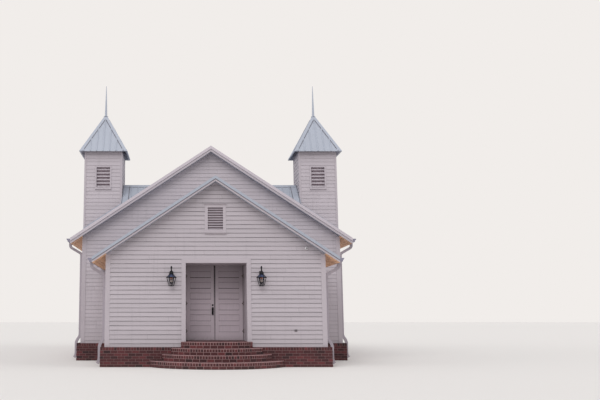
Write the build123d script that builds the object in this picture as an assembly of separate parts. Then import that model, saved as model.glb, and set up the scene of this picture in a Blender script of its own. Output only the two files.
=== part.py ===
from build123d import *
import math
import os

os.makedirs("parts", exist_ok=True)

# Frame: millimetres, X to the right as one faces the doors, Y towards the back,
# Z up. The origin is on the ground, in the middle of the porch, under the outer
# face of the porch's front wall.

# Walls, floors and plinth
wall_t = 150.0
plinth_top = 570.0
plinth_out = 130.0
plinth_t = 280.0
floor_top = 734.0

# Porch
porch_w = 6600.0
porch_l = 3540.0
porch_ridge_z = 5700.0
porch_roof_t = 130.0
porch_rake_depth = 161.0

# Main body
main_w = 8940.0
main_l = 14000.0
main_ridge_z = 7410.0
main_roof_t = 150.0
main_rake_depth = 203.0

# Roofs
slope = 8.0 / 12.0
eave_out = 410.0
rake_out = 250.0
ridge_cap_w = 150.0
sheet_t = 7.0
flashing_share = 0.53
flashing_back = 60.0
rake_board_t = 25.0
rake_drop = 12.0
flashing_gap = 8.0

# Gutters and downspouts
gutter_w = 125.0
gutter_h = 110.0
gutter_drop = 20.0
gutter_t = 4.0
spout_w = 90.0
spout_d = 75.0
spout_t = 3.0
spout_set = 210.0
spout_foot = 90.0
spout_off = 12.0
spout_drop = 150.0
spout_turn = 380.0
spout_jog_top = 250.0
spout_jog_foot = 70.0
spout_kick = 60.0
spout_bend_r = 70.0

# Entrance: recess, doors and casing
entrance_x = 15.0
recess_w = 1834.0
recess_h = 2337.0
recess_d = 1200.0
lining_t = 100.0
casing_w = 130.0
casing_t = 25.0
jamb_t = 20.0
head_t = 50.0
frame_d = 120.0
stop_t = 15.0
threshold_h = 12.0
leaf_t = 45.0
leaf_gap = 6.0
meeting_gap = 9.0
stile_w = 118.0
top_rail = 125.0
cross_rail = 128.0
bottom_rail = 237.0
panel_rows = 6
panel_recess = 12.0

# Hinges and handle
pivot_out = 14.0
knuckle_r = 7.0
pin_r = 3.5
pin_play = 0.05
knuckle_h = 34.0
knuckle_gap = 6.0
hinge_plate_t = 3.0
hinge_plate_w = 34.0
hinge_levels = (270.0, 1130.0, 1990.0)
plate_w = 52.0
plate_h = 250.0
plate_t = 5.0
plate_level = 780.0
grip_out = 58.0
grip_t = 16.0
bolt_r = 30.0
bolt_t = 12.0
bolt_level = 1090.0

# Steps: arcs about one centre behind the wall
step_rise = floor_top / 4.0
step_centre_y = 900.0
step_radii = (2230.0, 1920.0, 1700.0, 1478.0)

# Trim and louvers
corner_board_w = 124.0
corner_board_t = 18.0
louver_w = 486.0
louver_h = 711.0
louver_z = 4064.0
louver_slats = 9
louver_frame_w = 80.0
louver_frame_t = 20.0
sill_out = 45.0
sill_t = 40.0
slat_t = 12.0

# Towers
tower_w = 1315.0
tower_set = 170.0
tower_eave_z = 7275.0
tower_apex_z = 8830.0
tower_eave_out = 190.0
tower_roof_t = 40.0
tower_louver_w = 500.0
tower_louver_h = 750.0
tower_louver_z = 5990.0
tower_louver_slats = 6
tower_louver_frame_w = 40.0
hip_cap_w = 130.0
finial_seat = 90.0
finial_top_z = 9905.0
finial_r = 46.0
finial_tip_r = 9.0
flange_r = 82.0
flange_t = 10.0

# Saddle roofs between the towers and the main roof
saddle_ridge_z = 6190.0
saddle_slope = 10.0 / 12.0
saddle_t = 60.0
saddle_cheek_t = 20.0
saddle_cap_w = 120.0
saddle_side_w = 250.0

# Fittings
lantern_x = 1348.0
lantern_z = 2376.0
lantern_top_z = 2970.0
lantern_off = 30.0
lantern_foot_r = 72.0
lantern_rim_r = 142.0
lantern_cap_r = 48.0
lantern_spike_r = 12.0
lantern_candle_r = 13.0
lantern_body_h = 245.0
lantern_hood_h = 112.0
lantern_cap_h = 80.0
lantern_plate_t = 12.0
lantern_bar_r = 6.0
lantern_pane_t = 5.0
lantern_arm_t = 22.0
lantern_back_w = 100.0
lantern_back_h = 190.0
lantern_back_t = 28.0
camera_x = 2748.0
camera_z = 3509.0
outlet_x = 2379.0
outlet_z = 1060.0


def block(x0, x1, y0, y1, z0, z1):
    """A box between two corners."""
    place = Pos((x0 + x1) / 2, (y0 + y1) / 2, (z0 + z1) / 2)
    return place * Box(x1 - x0, y1 - y0, z1 - z0)


def upright(x, y, z0, radius, height):
    """A vertical cylinder that stands on z0."""
    low = (Align.CENTER, Align.CENTER, Align.MIN)
    return Pos(x, y, z0) * Cylinder(radius, height, align=low)


def prism_y(points, y0, y1):
    """A polygon given as (x, z), extruded along Y."""
    face = make_face(Polyline([(x, y0, z) for x, z in points], close=True))
    return extrude(face, amount=y1 - y0, dir=(0, 1, 0))


def prism_x(points, x0, x1):
    """A polygon given as (y, z), extruded along X."""
    face = make_face(Polyline([(x0, y, z) for y, z in points], close=True))
    return extrude(face, amount=x1 - x0, dir=(1, 0, 0))


def other_side(shape):
    """The same shape on the other side of the building's middle."""
    return mirror(shape, about=Plane.YZ)


def pair(shape):
    """A piece and its mirror image."""
    return Compound([shape, other_side(shape)])


def chevron(ridge_z, top, bottom, reach, y0, y1):
    """A folded strip that follows both roof slopes."""
    fall = slope * reach
    points = [
        (-reach, ridge_z + top - fall),
        (0, ridge_z + top),
        (reach, ridge_z + top - fall),
        (reach, ridge_z + bottom - fall),
        (0, ridge_z + bottom),
        (-reach, ridge_z + bottom - fall),
    ]
    return prism_y(points, y0, y1)


def half_strip(ridge_z, top, bottom, reach, y0, y1):
    """One side of a folded strip."""
    fall = slope * reach
    points = [
        (0, ridge_z + top),
        (reach, ridge_z + top - fall),
        (reach, ridge_z + bottom - fall),
        (0, ridge_z + bottom),
    ]
    return prism_y(points, y0, y1)


def round_corners(points, radius, steps):
    """A path with each inner corner turned into short segments."""
    path = [points[0]]
    for before, here, after in zip(points, points[1:], points[2:]):
        a = (Vector(*before) - Vector(*here)).normalized()
        b = (Vector(*after) - Vector(*here)).normalized()
        for k in range(steps + 1):
            t = k / steps
            bend = a * (radius * (1 - t) ** 2) + b * (radius * t**2)
            spot = Vector(*here) + bend
            path.append((spot.X, spot.Y))
    path.append(points[-1])
    return path


def ribbon(path, width):
    """The outline of a path drawn with a given width."""
    left = []
    right = []
    for i, (x, z) in enumerate(path):
        ahead = Vector(*path[min(i + 1, len(path) - 1)])
        behind = Vector(*path[max(i - 1, 0)])
        here = Vector(x, z)
        into = (here - behind) if i else (ahead - here)
        away = (ahead - here) if i < len(path) - 1 else into
        into = into.normalized()
        away = away.normalized()
        mean = (into + away).normalized()
        side = Vector(-mean.Y, mean.X)
        stretch = width / 2 / mean.dot(into)
        left.append((x + side.X * stretch, z + side.Y * stretch))
        right.append((x - side.X * stretch, z - side.Y * stretch))
    return left + right[::-1]


# Levels and places that follow from the sizes above
pitch = math.atan(slope)
porch_roof_v = porch_roof_t / math.cos(pitch)
main_roof_v = main_roof_t / math.cos(pitch)
porch_half = porch_w / 2
main_half = main_w / 2
main_front = porch_l
main_back = main_front + main_l
porch_reach = porch_half + eave_out
main_reach = main_half + eave_out
head_z = floor_top + recess_h
recess_half = recess_w / 2
step_back = -plinth_out

# Brick plinths


def plinth_ring(half, y0, y1):
    """A closed ring of brickwork under a body's walls."""
    outer = block(-half - plinth_out, half + plinth_out, y0, y1, 0, plinth_top)
    inner_half = half + plinth_out - plinth_t
    inner = block(-inner_half, inner_half, y0 + plinth_t, y1 - plinth_t, -1, plinth_top + 1)
    return outer - inner


main_plinth_front = main_front - plinth_out
main_plinth = plinth_ring(main_half, main_plinth_front, main_back + plinth_out)
export_step(main_plinth, "parts/main_plinth.step")

porch_plinth = block(
    -porch_half - plinth_out,
    porch_half + plinth_out,
    -plinth_out,
    main_plinth_front,
    0,
    plinth_top,
)
porch_void_half = porch_half + plinth_out - plinth_t
porch_plinth -= block(
    -porch_void_half,
    porch_void_half,
    plinth_t - plinth_out,
    main_plinth_front + 1,
    -1,
    plinth_top + 1,
)
export_step(porch_plinth, "parts/porch_plinth.step")

# Floors: boards on the plinths, brick in the recess
recess_left = entrance_x - recess_half
recess_right = entrance_x + recess_half
frame_back = recess_d + frame_d
porch_floor = block(
    -porch_half + wall_t,
    porch_half - wall_t,
    wall_t,
    main_front,
    plinth_top,
    floor_top,
)
porch_floor -= block(
    recess_left - lining_t,
    recess_right + lining_t,
    0,
    frame_back,
    plinth_top - 1,
    floor_top + 1,
)
export_step(porch_floor, "parts/porch_floor.step")

main_floor = block(
    -main_half + wall_t,
    main_half - wall_t,
    main_front + wall_t,
    main_back - wall_t,
    plinth_top,
    floor_top,
)
main_floor += block(
    recess_left,
    recess_right,
    main_front,
    main_front + wall_t,
    plinth_top,
    floor_top,
)
export_step(main_floor, "parts/main_floor.step")

recess_floor = block(
    recess_left,
    recess_right,
    -plinth_out,
    frame_back,
    plinth_top,
    floor_top,
)
export_step(recess_floor, "parts/recess_floor.step")

# Steps: four stacked arcs of brick against the plinth
brick_steps = None
for level, radius in enumerate(step_radii, start=1):
    disc = upright(entrance_x, step_centre_y, 0, radius, level * step_rise)
    disc -= block(
        entrance_x - 2 * radius,
        entrance_x + 2 * radius,
        step_back,
        step_centre_y + 2 * radius,
        -1,
        level * step_rise + 1,
    )
    brick_steps = disc if brick_steps is None else brick_steps + disc
export_step(brick_steps, "parts/brick_steps.step")

# Porch walls
porch_top = porch_ridge_z - porch_roof_v
porch_wall_top = porch_top - slope * porch_half
gable_points = [
    (-porch_half, head_z),
    (porch_half, head_z),
    (porch_half, porch_wall_top),
    (0, porch_top),
    (-porch_half, porch_wall_top),
]
porch_gable_wall = prism_y(gable_points, 0, wall_t)
porch_gable_wall -= block(
    -louver_w / 2,
    louver_w / 2,
    -1,
    wall_t + 1,
    louver_z,
    louver_z + louver_h,
)
export_step(porch_gable_wall, "parts/porch_gable_wall.step")

porch_front_walls = Compound(
    [
        block(-porch_half, recess_left, 0, wall_t, plinth_top, head_z),
        block(recess_right, porch_half, 0, wall_t, plinth_top, head_z),
    ]
)
export_step(porch_front_walls, "parts/porch_front_walls.step")

side_points = [
    (porch_half - wall_t, plinth_top),
    (porch_half, plinth_top),
    (porch_half, porch_wall_top),
    (porch_half - wall_t, porch_wall_top + slope * wall_t),
]
porch_side_wall = prism_y(side_points, wall_t, main_front)
export_step(pair(porch_side_wall), "parts/porch_side_walls.step")

# Recess lining: two cheeks and a ceiling in one piece
recess_lining = block(
    recess_left - lining_t,
    recess_right + lining_t,
    wall_t,
    frame_back,
    plinth_top,
    head_z + lining_t,
)
recess_lining -= block(
    recess_left,
    recess_right,
    wall_t - 1,
    frame_back + 1,
    plinth_top - 1,
    head_z,
)
export_step(recess_lining, "parts/recess_lining.step")

# Door frame with stops and threshold
door_left_x = recess_left + jamb_t
door_right_x = recess_right - jamb_t
door_head = head_z - head_t
door_frame = block(recess_left, recess_right, recess_d, frame_back, floor_top, head_z)
door_frame -= block(
    door_left_x,
    door_right_x,
    recess_d - 1,
    frame_back + 1,
    floor_top + threshold_h,
    door_head,
)
stop_y = recess_d + leaf_t + leaf_gap
stop_ring = block(door_left_x, door_right_x, stop_y, frame_back, floor_top, door_head)
stop_ring -= block(
    door_left_x + stop_t,
    door_right_x - stop_t,
    stop_y - 1,
    frame_back + 1,
    floor_top + threshold_h,
    door_head - stop_t,
)
door_frame += stop_ring
export_step(door_frame, "parts/door_frame.step")

# Casing around the recess on the wall's face
entrance_casing = block(
    recess_left - casing_w,
    recess_right + casing_w,
    -casing_t,
    0,
    floor_top,
    head_z + casing_w,
)
entrance_casing -= block(
    recess_left,
    recess_right,
    -casing_t - 1,
    1,
    floor_top - 1,
    head_z,
)
export_step(entrance_casing, "parts/entrance_casing.step")

# Door leaves with six flat panels
leaf_w = (door_right_x - door_left_x - 2 * leaf_gap - meeting_gap) / 2
leaf_bottom = floor_top + threshold_h + leaf_gap
leaf_top = door_head - leaf_gap
leaf_h = leaf_top - leaf_bottom
panel_space = leaf_h - top_rail - bottom_rail - (panel_rows - 1) * cross_rail
panel_h = panel_space / panel_rows


def door_leaf(x0):
    """A leaf whose left edge is at x0."""
    leaf = block(x0, x0 + leaf_w, recess_d, recess_d + leaf_t, leaf_bottom, leaf_top)
    for row in range(panel_rows):
        z0 = leaf_bottom + bottom_rail + row * (panel_h + cross_rail)
        for y0 in (recess_d - panel_recess, recess_d + leaf_t - panel_recess):
            leaf -= block(
                x0 + stile_w,
                x0 + leaf_w - stile_w,
                y0,
                y0 + 2 * panel_recess,
                z0,
                z0 + panel_h,
            )
    return leaf


left_leaf_x = door_left_x + leaf_gap
right_leaf_x = door_right_x - leaf_gap - leaf_w
door_left = door_leaf(left_leaf_x)
door_right = door_leaf(right_leaf_x)
export_step(door_left, "parts/door_left.step")
export_step(door_right, "parts/door_right.step")

# Hinges: the middle knuckle turns with the leaf about a pin that the outer two hold
pivot_y = recess_d - pivot_out
pivot_left = door_left_x + leaf_gap / 2
pivot_right = door_right_x - leaf_gap / 2
knuckle_lift = knuckle_h + knuckle_gap
pin_len = 2 * knuckle_lift + knuckle_h


def knuckle(x, z0, side, reach):
    """A knuckle with its web and plate, on one side of the pivot."""
    inner = leaf_gap / 2
    body = upright(x, pivot_y, z0, knuckle_r, knuckle_h)
    web = sorted((x + side * inner, x + side * knuckle_r))
    body += block(web[0], web[1], pivot_y, recess_d, z0, z0 + knuckle_h)
    plate = sorted((x + side * inner, x + side * (inner + reach)))
    body += block(
        plate[0],
        plate[1],
        recess_d - hinge_plate_t,
        recess_d,
        z0,
        z0 + knuckle_h,
    )
    return body


def leaf_hinges(x, side):
    """The moving knuckles of one leaf, bored for their pins."""
    knuckles = []
    for level in hinge_levels:
        z0 = leaf_bottom + level - knuckle_h / 2
        bore = upright(x, pivot_y, z0 - 1, pin_r + pin_play, knuckle_h + 2)
        knuckles.append(knuckle(x, z0, side, hinge_plate_w) - bore)
    return knuckles


def frame_hinge(x, side, level):
    """The two fixed knuckles of a hinge with the pin between them."""
    z0 = leaf_bottom + level - knuckle_h / 2
    body = upright(x, pivot_y, z0 - knuckle_lift, pin_r, pin_len)
    body += knuckle(x, z0 - knuckle_lift, side, jamb_t - leaf_gap / 2)
    body += knuckle(x, z0 + knuckle_lift, side, jamb_t - leaf_gap / 2)
    return body


frame_hinges = []
for level in hinge_levels:
    frame_hinges.append(frame_hinge(pivot_left, -1, level))
    frame_hinges.append(frame_hinge(pivot_right, 1, level))
export_step(Compound(frame_hinges), "parts/frame_hinges.step")
export_step(Compound(leaf_hinges(pivot_left, 1)), "parts/door_left_hinges.step")
export_step(Compound(leaf_hinges(pivot_right, -1)), "parts/door_right_hinges.step")

# Handle set on the left leaf, near the meeting edge
handle_x = left_leaf_x + leaf_w - stile_w / 2
plate_z = floor_top + plate_level
door_handle = block(
    handle_x - plate_w / 2,
    handle_x + plate_w / 2,
    recess_d - plate_t,
    recess_d,
    plate_z,
    plate_z + plate_h,
)
for z0 in (plate_z + grip_t, plate_z + plate_h - 2 * grip_t):
    door_handle += block(
        handle_x - grip_t / 2,
        handle_x + grip_t / 2,
        recess_d - grip_out,
        recess_d,
        z0,
        z0 + grip_t,
    )
door_handle += block(
    handle_x - grip_t / 2,
    handle_x + grip_t / 2,
    recess_d - grip_out,
    recess_d - grip_out + grip_t,
    plate_z + grip_t,
    plate_z + plate_h - grip_t,
)
bolt = Pos(handle_x, recess_d - bolt_t / 2, floor_top + bolt_level) * Rot(90, 0, 0)
bolt *= Cylinder(bolt_r, bolt_t)
export_step(Compound([door_handle, bolt]), "parts/door_handle.step")

# Louvers


def louver(x, face_y, z0, width, height, slats, frame_w, depth):
    """A framed louver whose slats slope down to the outside."""
    body = block(
        x - width / 2 - frame_w,
        x + width / 2 + frame_w,
        face_y - louver_frame_t,
        face_y,
        z0 - frame_w / 2,
        z0 + height + frame_w,
    )
    body -= block(
        x - width / 2 + slat_t,
        x + width / 2 - slat_t,
        face_y - louver_frame_t - 1,
        face_y + 1,
        z0 + slat_t,
        z0 + height - slat_t,
    )
    liner = block(
        x - width / 2,
        x + width / 2,
        face_y - louver_frame_t,
        face_y + depth,
        z0,
        z0 + height,
    )
    liner -= block(
        x - width / 2 + slat_t,
        x + width / 2 - slat_t,
        face_y - louver_frame_t - 1,
        face_y + depth + 1,
        z0 + slat_t,
        z0 + height - slat_t,
    )
    body += liner
    step = (height - 2 * slat_t) / slats
    fall = step * 0.6
    for i in range(slats):
        low = z0 + slat_t + i * step + step * 0.1
        points = [
            (face_y, low),
            (face_y + depth, low + fall),
            (face_y + depth, low + fall + slat_t),
            (face_y, low + slat_t),
        ]
        body += prism_x(points, x - width / 2 + slat_t / 2, x + width / 2 - slat_t / 2)
    body += block(
        x - width / 2 - frame_w,
        x + width / 2 + frame_w,
        face_y - sill_out,
        face_y,
        z0 - frame_w / 2 - sill_t,
        z0 - frame_w / 2,
    )
    return body


porch_louver = louver(
    0,
    0,
    louver_z,
    louver_w,
    louver_h,
    louver_slats,
    louver_frame_w,
    wall_t / 2,
)
export_step(porch_louver, "parts/porch_louver.step")

# Roof slabs
porch_slab = half_strip(porch_ridge_z, 0, -porch_roof_v, porch_reach, -rake_out, main_front)
export_step(porch_slab, "parts/porch_roof_right.step")
export_step(other_side(porch_slab), "parts/porch_roof_left.step")

tower_front = main_front + tower_set
tower_back = tower_front + tower_w
tower_in = main_half - tower_w
tower_mid_x = main_half - tower_w / 2
tower_mid_y = tower_front + tower_w / 2
main_slab_front = main_front - rake_out
main_slab_back = main_back + rake_out
main_slab = half_strip(
    main_ridge_z,
    0,
    -main_roof_v,
    main_reach,
    main_slab_front,
    main_slab_back,
)
main_slab -= block(tower_in, main_half, tower_front, tower_back, 0, main_ridge_z)
export_step(main_slab, "parts/main_roof_right.step")
export_step(other_side(main_slab), "parts/main_roof_left.step")

# Rake boards under the roof edges
board_top = -rake_drop


def rake_board(ridge_z, reach, depth, y0, y1):
    """A folded board along a gable's roof edge."""
    return chevron(ridge_z, board_top, -depth, reach, y0, y1)


rake_boards = Compound(
    [
        rake_board(
            porch_ridge_z,
            porch_reach,
            porch_rake_depth,
            -rake_out - rake_board_t,
            -rake_out,
        ),
        rake_board(
            main_ridge_z,
            main_reach,
            main_rake_depth,
            main_slab_front - rake_board_t,
            main_slab_front,
        ),
        rake_board(
            main_ridge_z,
            main_reach,
            main_rake_depth,
            main_slab_back,
            main_slab_back + rake_board_t,
        ),
    ]
)
export_step(rake_boards, "parts/rake_boards.step")

# Ridge caps and roof edge flashing
lip = rake_board_t + flashing_gap


def edge_flashing(ridge_z, reach, depth, y_edge, outward):
    """A folded metal edge: a leg on the roof and a leg down the board."""
    leg = flashing_share * depth
    tip = y_edge + outward * (lip + sheet_t)
    back = y_edge - outward * flashing_back
    top_leg = sorted((tip, back))
    edge = chevron(ridge_z, sheet_t, 0, reach, top_leg[0], top_leg[1])
    face = sorted((tip, y_edge + outward * lip))
    edge += chevron(ridge_z, sheet_t, -leg, reach, face[0], face[1])
    return edge


porch_trim = edge_flashing(
    porch_ridge_z,
    porch_reach,
    porch_rake_depth,
    -rake_out,
    -1,
)
porch_trim += chevron(porch_ridge_z, sheet_t, 0, ridge_cap_w, -rake_out, main_front)
main_trim = edge_flashing(
    main_ridge_z,
    main_reach,
    main_rake_depth,
    main_slab_front,
    -1,
)
main_trim += edge_flashing(
    main_ridge_z,
    main_reach,
    main_rake_depth,
    main_slab_back,
    1,
)
main_trim += chevron(
    main_ridge_z,
    sheet_t,
    0,
    ridge_cap_w,
    main_slab_front,
    main_slab_back,
)
export_step(Compound([porch_trim, main_trim]), "parts/roof_trim.step")

# Main walls
main_top = main_ridge_z - main_roof_v
main_wall_top = main_top - slope * main_half
main_gable_points = [
    (-main_half, head_z),
    (main_half, head_z),
    (main_half, main_wall_top),
    (0, main_top),
    (-main_half, main_wall_top),
]
main_gable_wall = prism_y(main_gable_points, main_front, main_front + wall_t)
export_step(main_gable_wall, "parts/main_gable_wall.step")

main_front_walls = Compound(
    [
        block(
            -main_half,
            recess_left,
            main_front,
            main_front + wall_t,
            plinth_top,
            head_z,
        ),
        block(
            recess_right,
            main_half,
            main_front,
            main_front + wall_t,
            plinth_top,
            head_z,
        ),
    ]
)
export_step(main_front_walls, "parts/main_front_walls.step")

back_points = [(-main_half, plinth_top), (main_half, plinth_top)] + main_gable_points[2:]
main_back_wall = prism_y(back_points, main_back - wall_t, main_back)
export_step(main_back_wall, "parts/main_back_wall.step")

main_side_points = [
    (main_half - wall_t, plinth_top),
    (main_half, plinth_top),
    (main_half, main_wall_top),
    (main_half - wall_t, main_wall_top + slope * wall_t),
]
main_side_wall = prism_y(main_side_points, main_front + wall_t, main_back - wall_t)
export_step(pair(main_side_wall), "parts/main_side_walls.step")

# Corner boards


def corner_board(half, y_face, outward, z0, z1):
    """An angle of two boards on an outside corner."""
    x_out = half + corner_board_t
    y_tip = y_face + outward * corner_board_t
    y_in = y_face - outward * corner_board_w
    front = sorted((y_tip, y_face))
    side = sorted((y_tip, y_in))
    board = block(half - corner_board_w, x_out, front[0], front[1], z0, z1)
    board += block(half, x_out, side[0], side[1], z0, z1)
    return board


porch_corner_top = porch_top - slope * (porch_half + corner_board_t)
main_corner_top = main_top - slope * (main_half + corner_board_t)
front_corner = corner_board(porch_half, 0, -1, plinth_top, porch_corner_top)
main_corner = corner_board(main_half, main_front, -1, plinth_top, main_corner_top)
back_corner = corner_board(main_half, main_back, 1, plinth_top, main_corner_top)
corners = []
for board in (front_corner, main_corner, back_corner):
    corners.append(board)
    corners.append(other_side(board))
export_step(Compound(corners), "parts/corner_boards.step")

# Towers
tower_half = tower_w / 2
eave_half = tower_half + tower_eave_out
tower_slope = (tower_apex_z - tower_eave_z) / eave_half
tower_roof_v = tower_roof_t * math.sqrt(1 + tower_slope**2)


def pyramid(lift, half, low):
    """A square pyramid on a tower's middle, its slopes raised by lift."""
    top = tower_apex_z + lift
    base = top - tower_slope * half
    shape = prism_y([(-half, base), (half, base), (0, top)], -half, half)
    shape &= prism_x([(-half, base), (half, base), (0, top)], -half, half)
    if base < low:
        shape -= block(-half - 1, half + 1, -half - 1, half + 1, base - 1, low)
    return Pos(tower_mid_x, tower_mid_y, 0) * shape


tower_inside = pyramid(-tower_roof_v, eave_half, 0)
tower_roof = pyramid(0, eave_half, 0) - tower_inside
seat_z = tower_apex_z - finial_seat
tower_roof -= block(
    tower_in,
    main_half,
    tower_front,
    tower_back,
    seat_z,
    tower_apex_z + 1,
)
export_step(pair(tower_roof), "parts/tower_roofs.step")

tower_walls = block(tower_in, main_half, tower_front, tower_back, 0, tower_apex_z)
tower_walls -= block(
    tower_in + wall_t,
    main_half - wall_t,
    tower_front + wall_t,
    tower_back - wall_t,
    -1,
    tower_apex_z + 1,
)
tower_cut = pyramid(-tower_roof_v, eave_half, 0)
cut_base = tower_apex_z - tower_roof_v - tower_slope * eave_half
tower_cap = block(
    tower_in - 1,
    main_half + 1,
    tower_front - 1,
    tower_back + 1,
    cut_base,
    tower_apex_z + 2,
)
tower_walls -= tower_cap - tower_cut
under_roof = [
    (tower_in - 1, 0),
    (main_half + 1, 0),
    (main_half + 1, main_top - slope * (main_half + 1)),
    (tower_in - 1, main_top - slope * (tower_in - 1)),
]
tower_walls -= prism_y(under_roof, tower_front - 1, tower_back + 1)
tower_walls -= block(
    tower_mid_x - tower_louver_w / 2,
    tower_mid_x + tower_louver_w / 2,
    tower_front - 1,
    tower_front + wall_t + 1,
    tower_louver_z,
    tower_louver_z + tower_louver_h,
)
export_step(pair(tower_walls), "parts/tower_walls.step")

tower_louver = louver(
    tower_mid_x,
    tower_front,
    tower_louver_z,
    tower_louver_w,
    tower_louver_h,
    tower_louver_slats,
    tower_louver_frame_w,
    wall_t / 2,
)
export_step(pair(tower_louver), "parts/tower_louvers.step")

# Hip caps: folded strips on the four hips of each tower roof
cap_shell = pyramid(sheet_t * 2, eave_half, 0) - pyramid(0, eave_half + 1, 0)
cap_field = [
    (-eave_half + hip_cap_w, tower_eave_z - 50),
    (eave_half - hip_cap_w, tower_eave_z - 50),
    (eave_half - hip_cap_w, tower_eave_z),
    (0, tower_apex_z - tower_slope * hip_cap_w),
    (-eave_half + hip_cap_w, tower_eave_z),
]
middle = Pos(tower_mid_x, tower_mid_y, 0)
hip_caps = cap_shell - middle * prism_y(cap_field, -eave_half - 9, eave_half + 9)
hip_caps -= middle * prism_x(cap_field, -eave_half - 9, eave_half + 9)
hip_caps -= block(
    tower_in,
    main_half,
    tower_front,
    tower_back,
    seat_z,
    tower_apex_z + 99,
)
export_step(pair(hip_caps), "parts/tower_hip_caps.step")

# Finials on the flat top of each tower roof
flange = upright(tower_mid_x, tower_mid_y, seat_z, flange_r, flange_t)
spike_z = seat_z + flange_t
finial = flange + Pos(tower_mid_x, tower_mid_y, spike_z) * Cone(
    finial_r,
    finial_tip_r,
    finial_top_z - spike_z,
    align=(Align.CENTER, Align.CENTER, Align.MIN),
)
export_step(pair(finial), "parts/finials.step")

# Saddle roofs: small gables that lead from the towers to the main roof
saddle_reach = 2 * main_half
saddle_fall = saddle_slope * saddle_reach


def saddle_tent(lift, x0, x1):
    """A solid tent along X over a tower's middle."""
    points = [
        (tower_mid_y - saddle_reach, saddle_ridge_z + lift - saddle_fall),
        (tower_mid_y + saddle_reach, saddle_ridge_z + lift - saddle_fall),
        (tower_mid_y, saddle_ridge_z + lift),
    ]
    return prism_x(points, x0, x1)


roof_mass = half_strip(
    main_ridge_z,
    0,
    -2 * main_ridge_z,
    main_reach,
    main_slab_front - saddle_reach,
    main_slab_back,
)
saddle_front = main_slab_front + flashing_back
edge_zone = block(
    0,
    main_reach,
    main_slab_front - saddle_reach,
    saddle_front,
    0,
    main_ridge_z,
)
saddle = saddle_tent(0, 0, tower_in)
saddle -= saddle_tent(-saddle_t, -1, tower_in - saddle_cheek_t)
saddle -= roof_mass
saddle -= edge_zone
export_step(pair(saddle), "parts/saddle_roofs.step")

saddle_skin = saddle_tent(sheet_t, 0, tower_in) - saddle_tent(0, -1, tower_in + 1)
saddle_zone = block(
    0,
    tower_in,
    tower_mid_y - saddle_cap_w,
    tower_mid_y + saddle_cap_w,
    0,
    main_ridge_z,
)
saddle_zone += block(
    tower_in - saddle_side_w,
    tower_in,
    saddle_front,
    main_slab_back,
    0,
    main_ridge_z,
)
saddle_trim = (saddle_skin & saddle_zone) - roof_mass
export_step(pair(saddle_trim), "parts/saddle_roof_trim.step")

# Gutters


def gutter(edge_x, edge_z, y0, y1):
    """An open trough along an eave, with closed ends."""
    top = edge_z - gutter_drop
    deep = top - gutter_h
    outer = [
        (edge_x, top),
        (edge_x, deep),
        (edge_x + gutter_w * 0.64, deep),
        (edge_x + gutter_w * 0.76, deep + gutter_h * 0.45),
        (edge_x + gutter_w, top - gutter_h * 0.25),
        (edge_x + gutter_w, top),
    ]
    t = gutter_t
    inner = [
        (edge_x + t, top + 1),
        (edge_x + t, deep + t),
        (edge_x + gutter_w * 0.64 - t, deep + t),
        (edge_x + gutter_w * 0.76 - t, deep + gutter_h * 0.45 + t / 2),
        (edge_x + gutter_w - t, top - gutter_h * 0.25 + t / 2),
        (edge_x + gutter_w - t, top + 1),
    ]
    return prism_y(outer, y0, y1) - prism_y(inner, y0 + t, y1 - t)


porch_eave_z = porch_ridge_z - slope * porch_reach
main_eave_z = main_ridge_z - slope * main_reach
porch_gutter = gutter(porch_reach, porch_eave_z, -rake_out, main_front)
main_gutter = gutter(main_reach, main_eave_z, main_slab_front, main_slab_back)
gutters = [
    porch_gutter,
    other_side(porch_gutter),
    main_gutter,
    other_side(main_gutter),
]
export_step(Compound(gutters), "parts/gutters.step")

# Downspouts: outlet, offset to the wall, run down it, out over the plinth


def downspout(half, reach, eave_z, y):
    """A hollow spout in one plane across the building."""
    top = eave_z - gutter_drop - gutter_h
    gutter_x = reach + spout_w / 2 + spout_t
    wall_x = half + corner_board_t + spout_w / 2
    foot_x = half + plinth_out + spout_w / 2 + spout_off
    path = [
        (gutter_x, top),
        (gutter_x, top - spout_drop),
        (wall_x, top - spout_turn),
        (wall_x, plinth_top + spout_jog_top),
        (foot_x, plinth_top + spout_jog_foot),
        (foot_x, spout_foot + spout_w),
        (foot_x + spout_kick, spout_foot),
    ]
    path = round_corners(path, spout_bend_r, 4)
    spout = prism_y(ribbon(path, spout_w), y - spout_d / 2, y + spout_d / 2)
    bore = prism_y(
        ribbon(path, spout_w - 2 * spout_t),
        y - spout_d / 2 + spout_t,
        y + spout_d / 2 - spout_t,
    )
    return spout - bore


porch_spout = downspout(porch_half, porch_reach, porch_eave_z, spout_set)
main_spout = downspout(main_half, main_reach, main_eave_z, main_front + spout_set)
spouts = [
    porch_spout,
    other_side(porch_spout),
    main_spout,
    other_side(main_spout),
]
export_step(Compound(spouts), "parts/downspouts.step")

# Lanterns beside the doorway


def hexagon(x, y, z, radius):
    """A six-sided face lying at a height."""
    return Pos(x, y, z) * RegularPolygon(radius, 6)


def hex_frustum(x, y, z0, r0, z1, r1):
    """A six-sided taper between two heights."""
    return loft([hexagon(x, y, z0, r0).face(), hexagon(x, y, z1, r1).face()])


def rod(start, end, radius):
    """A round rod between two points."""
    way = Vector(*end) - Vector(*start)
    base = Plane(origin=start, z_dir=way)
    return extrude(base * Circle(radius), amount=way.length)


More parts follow.
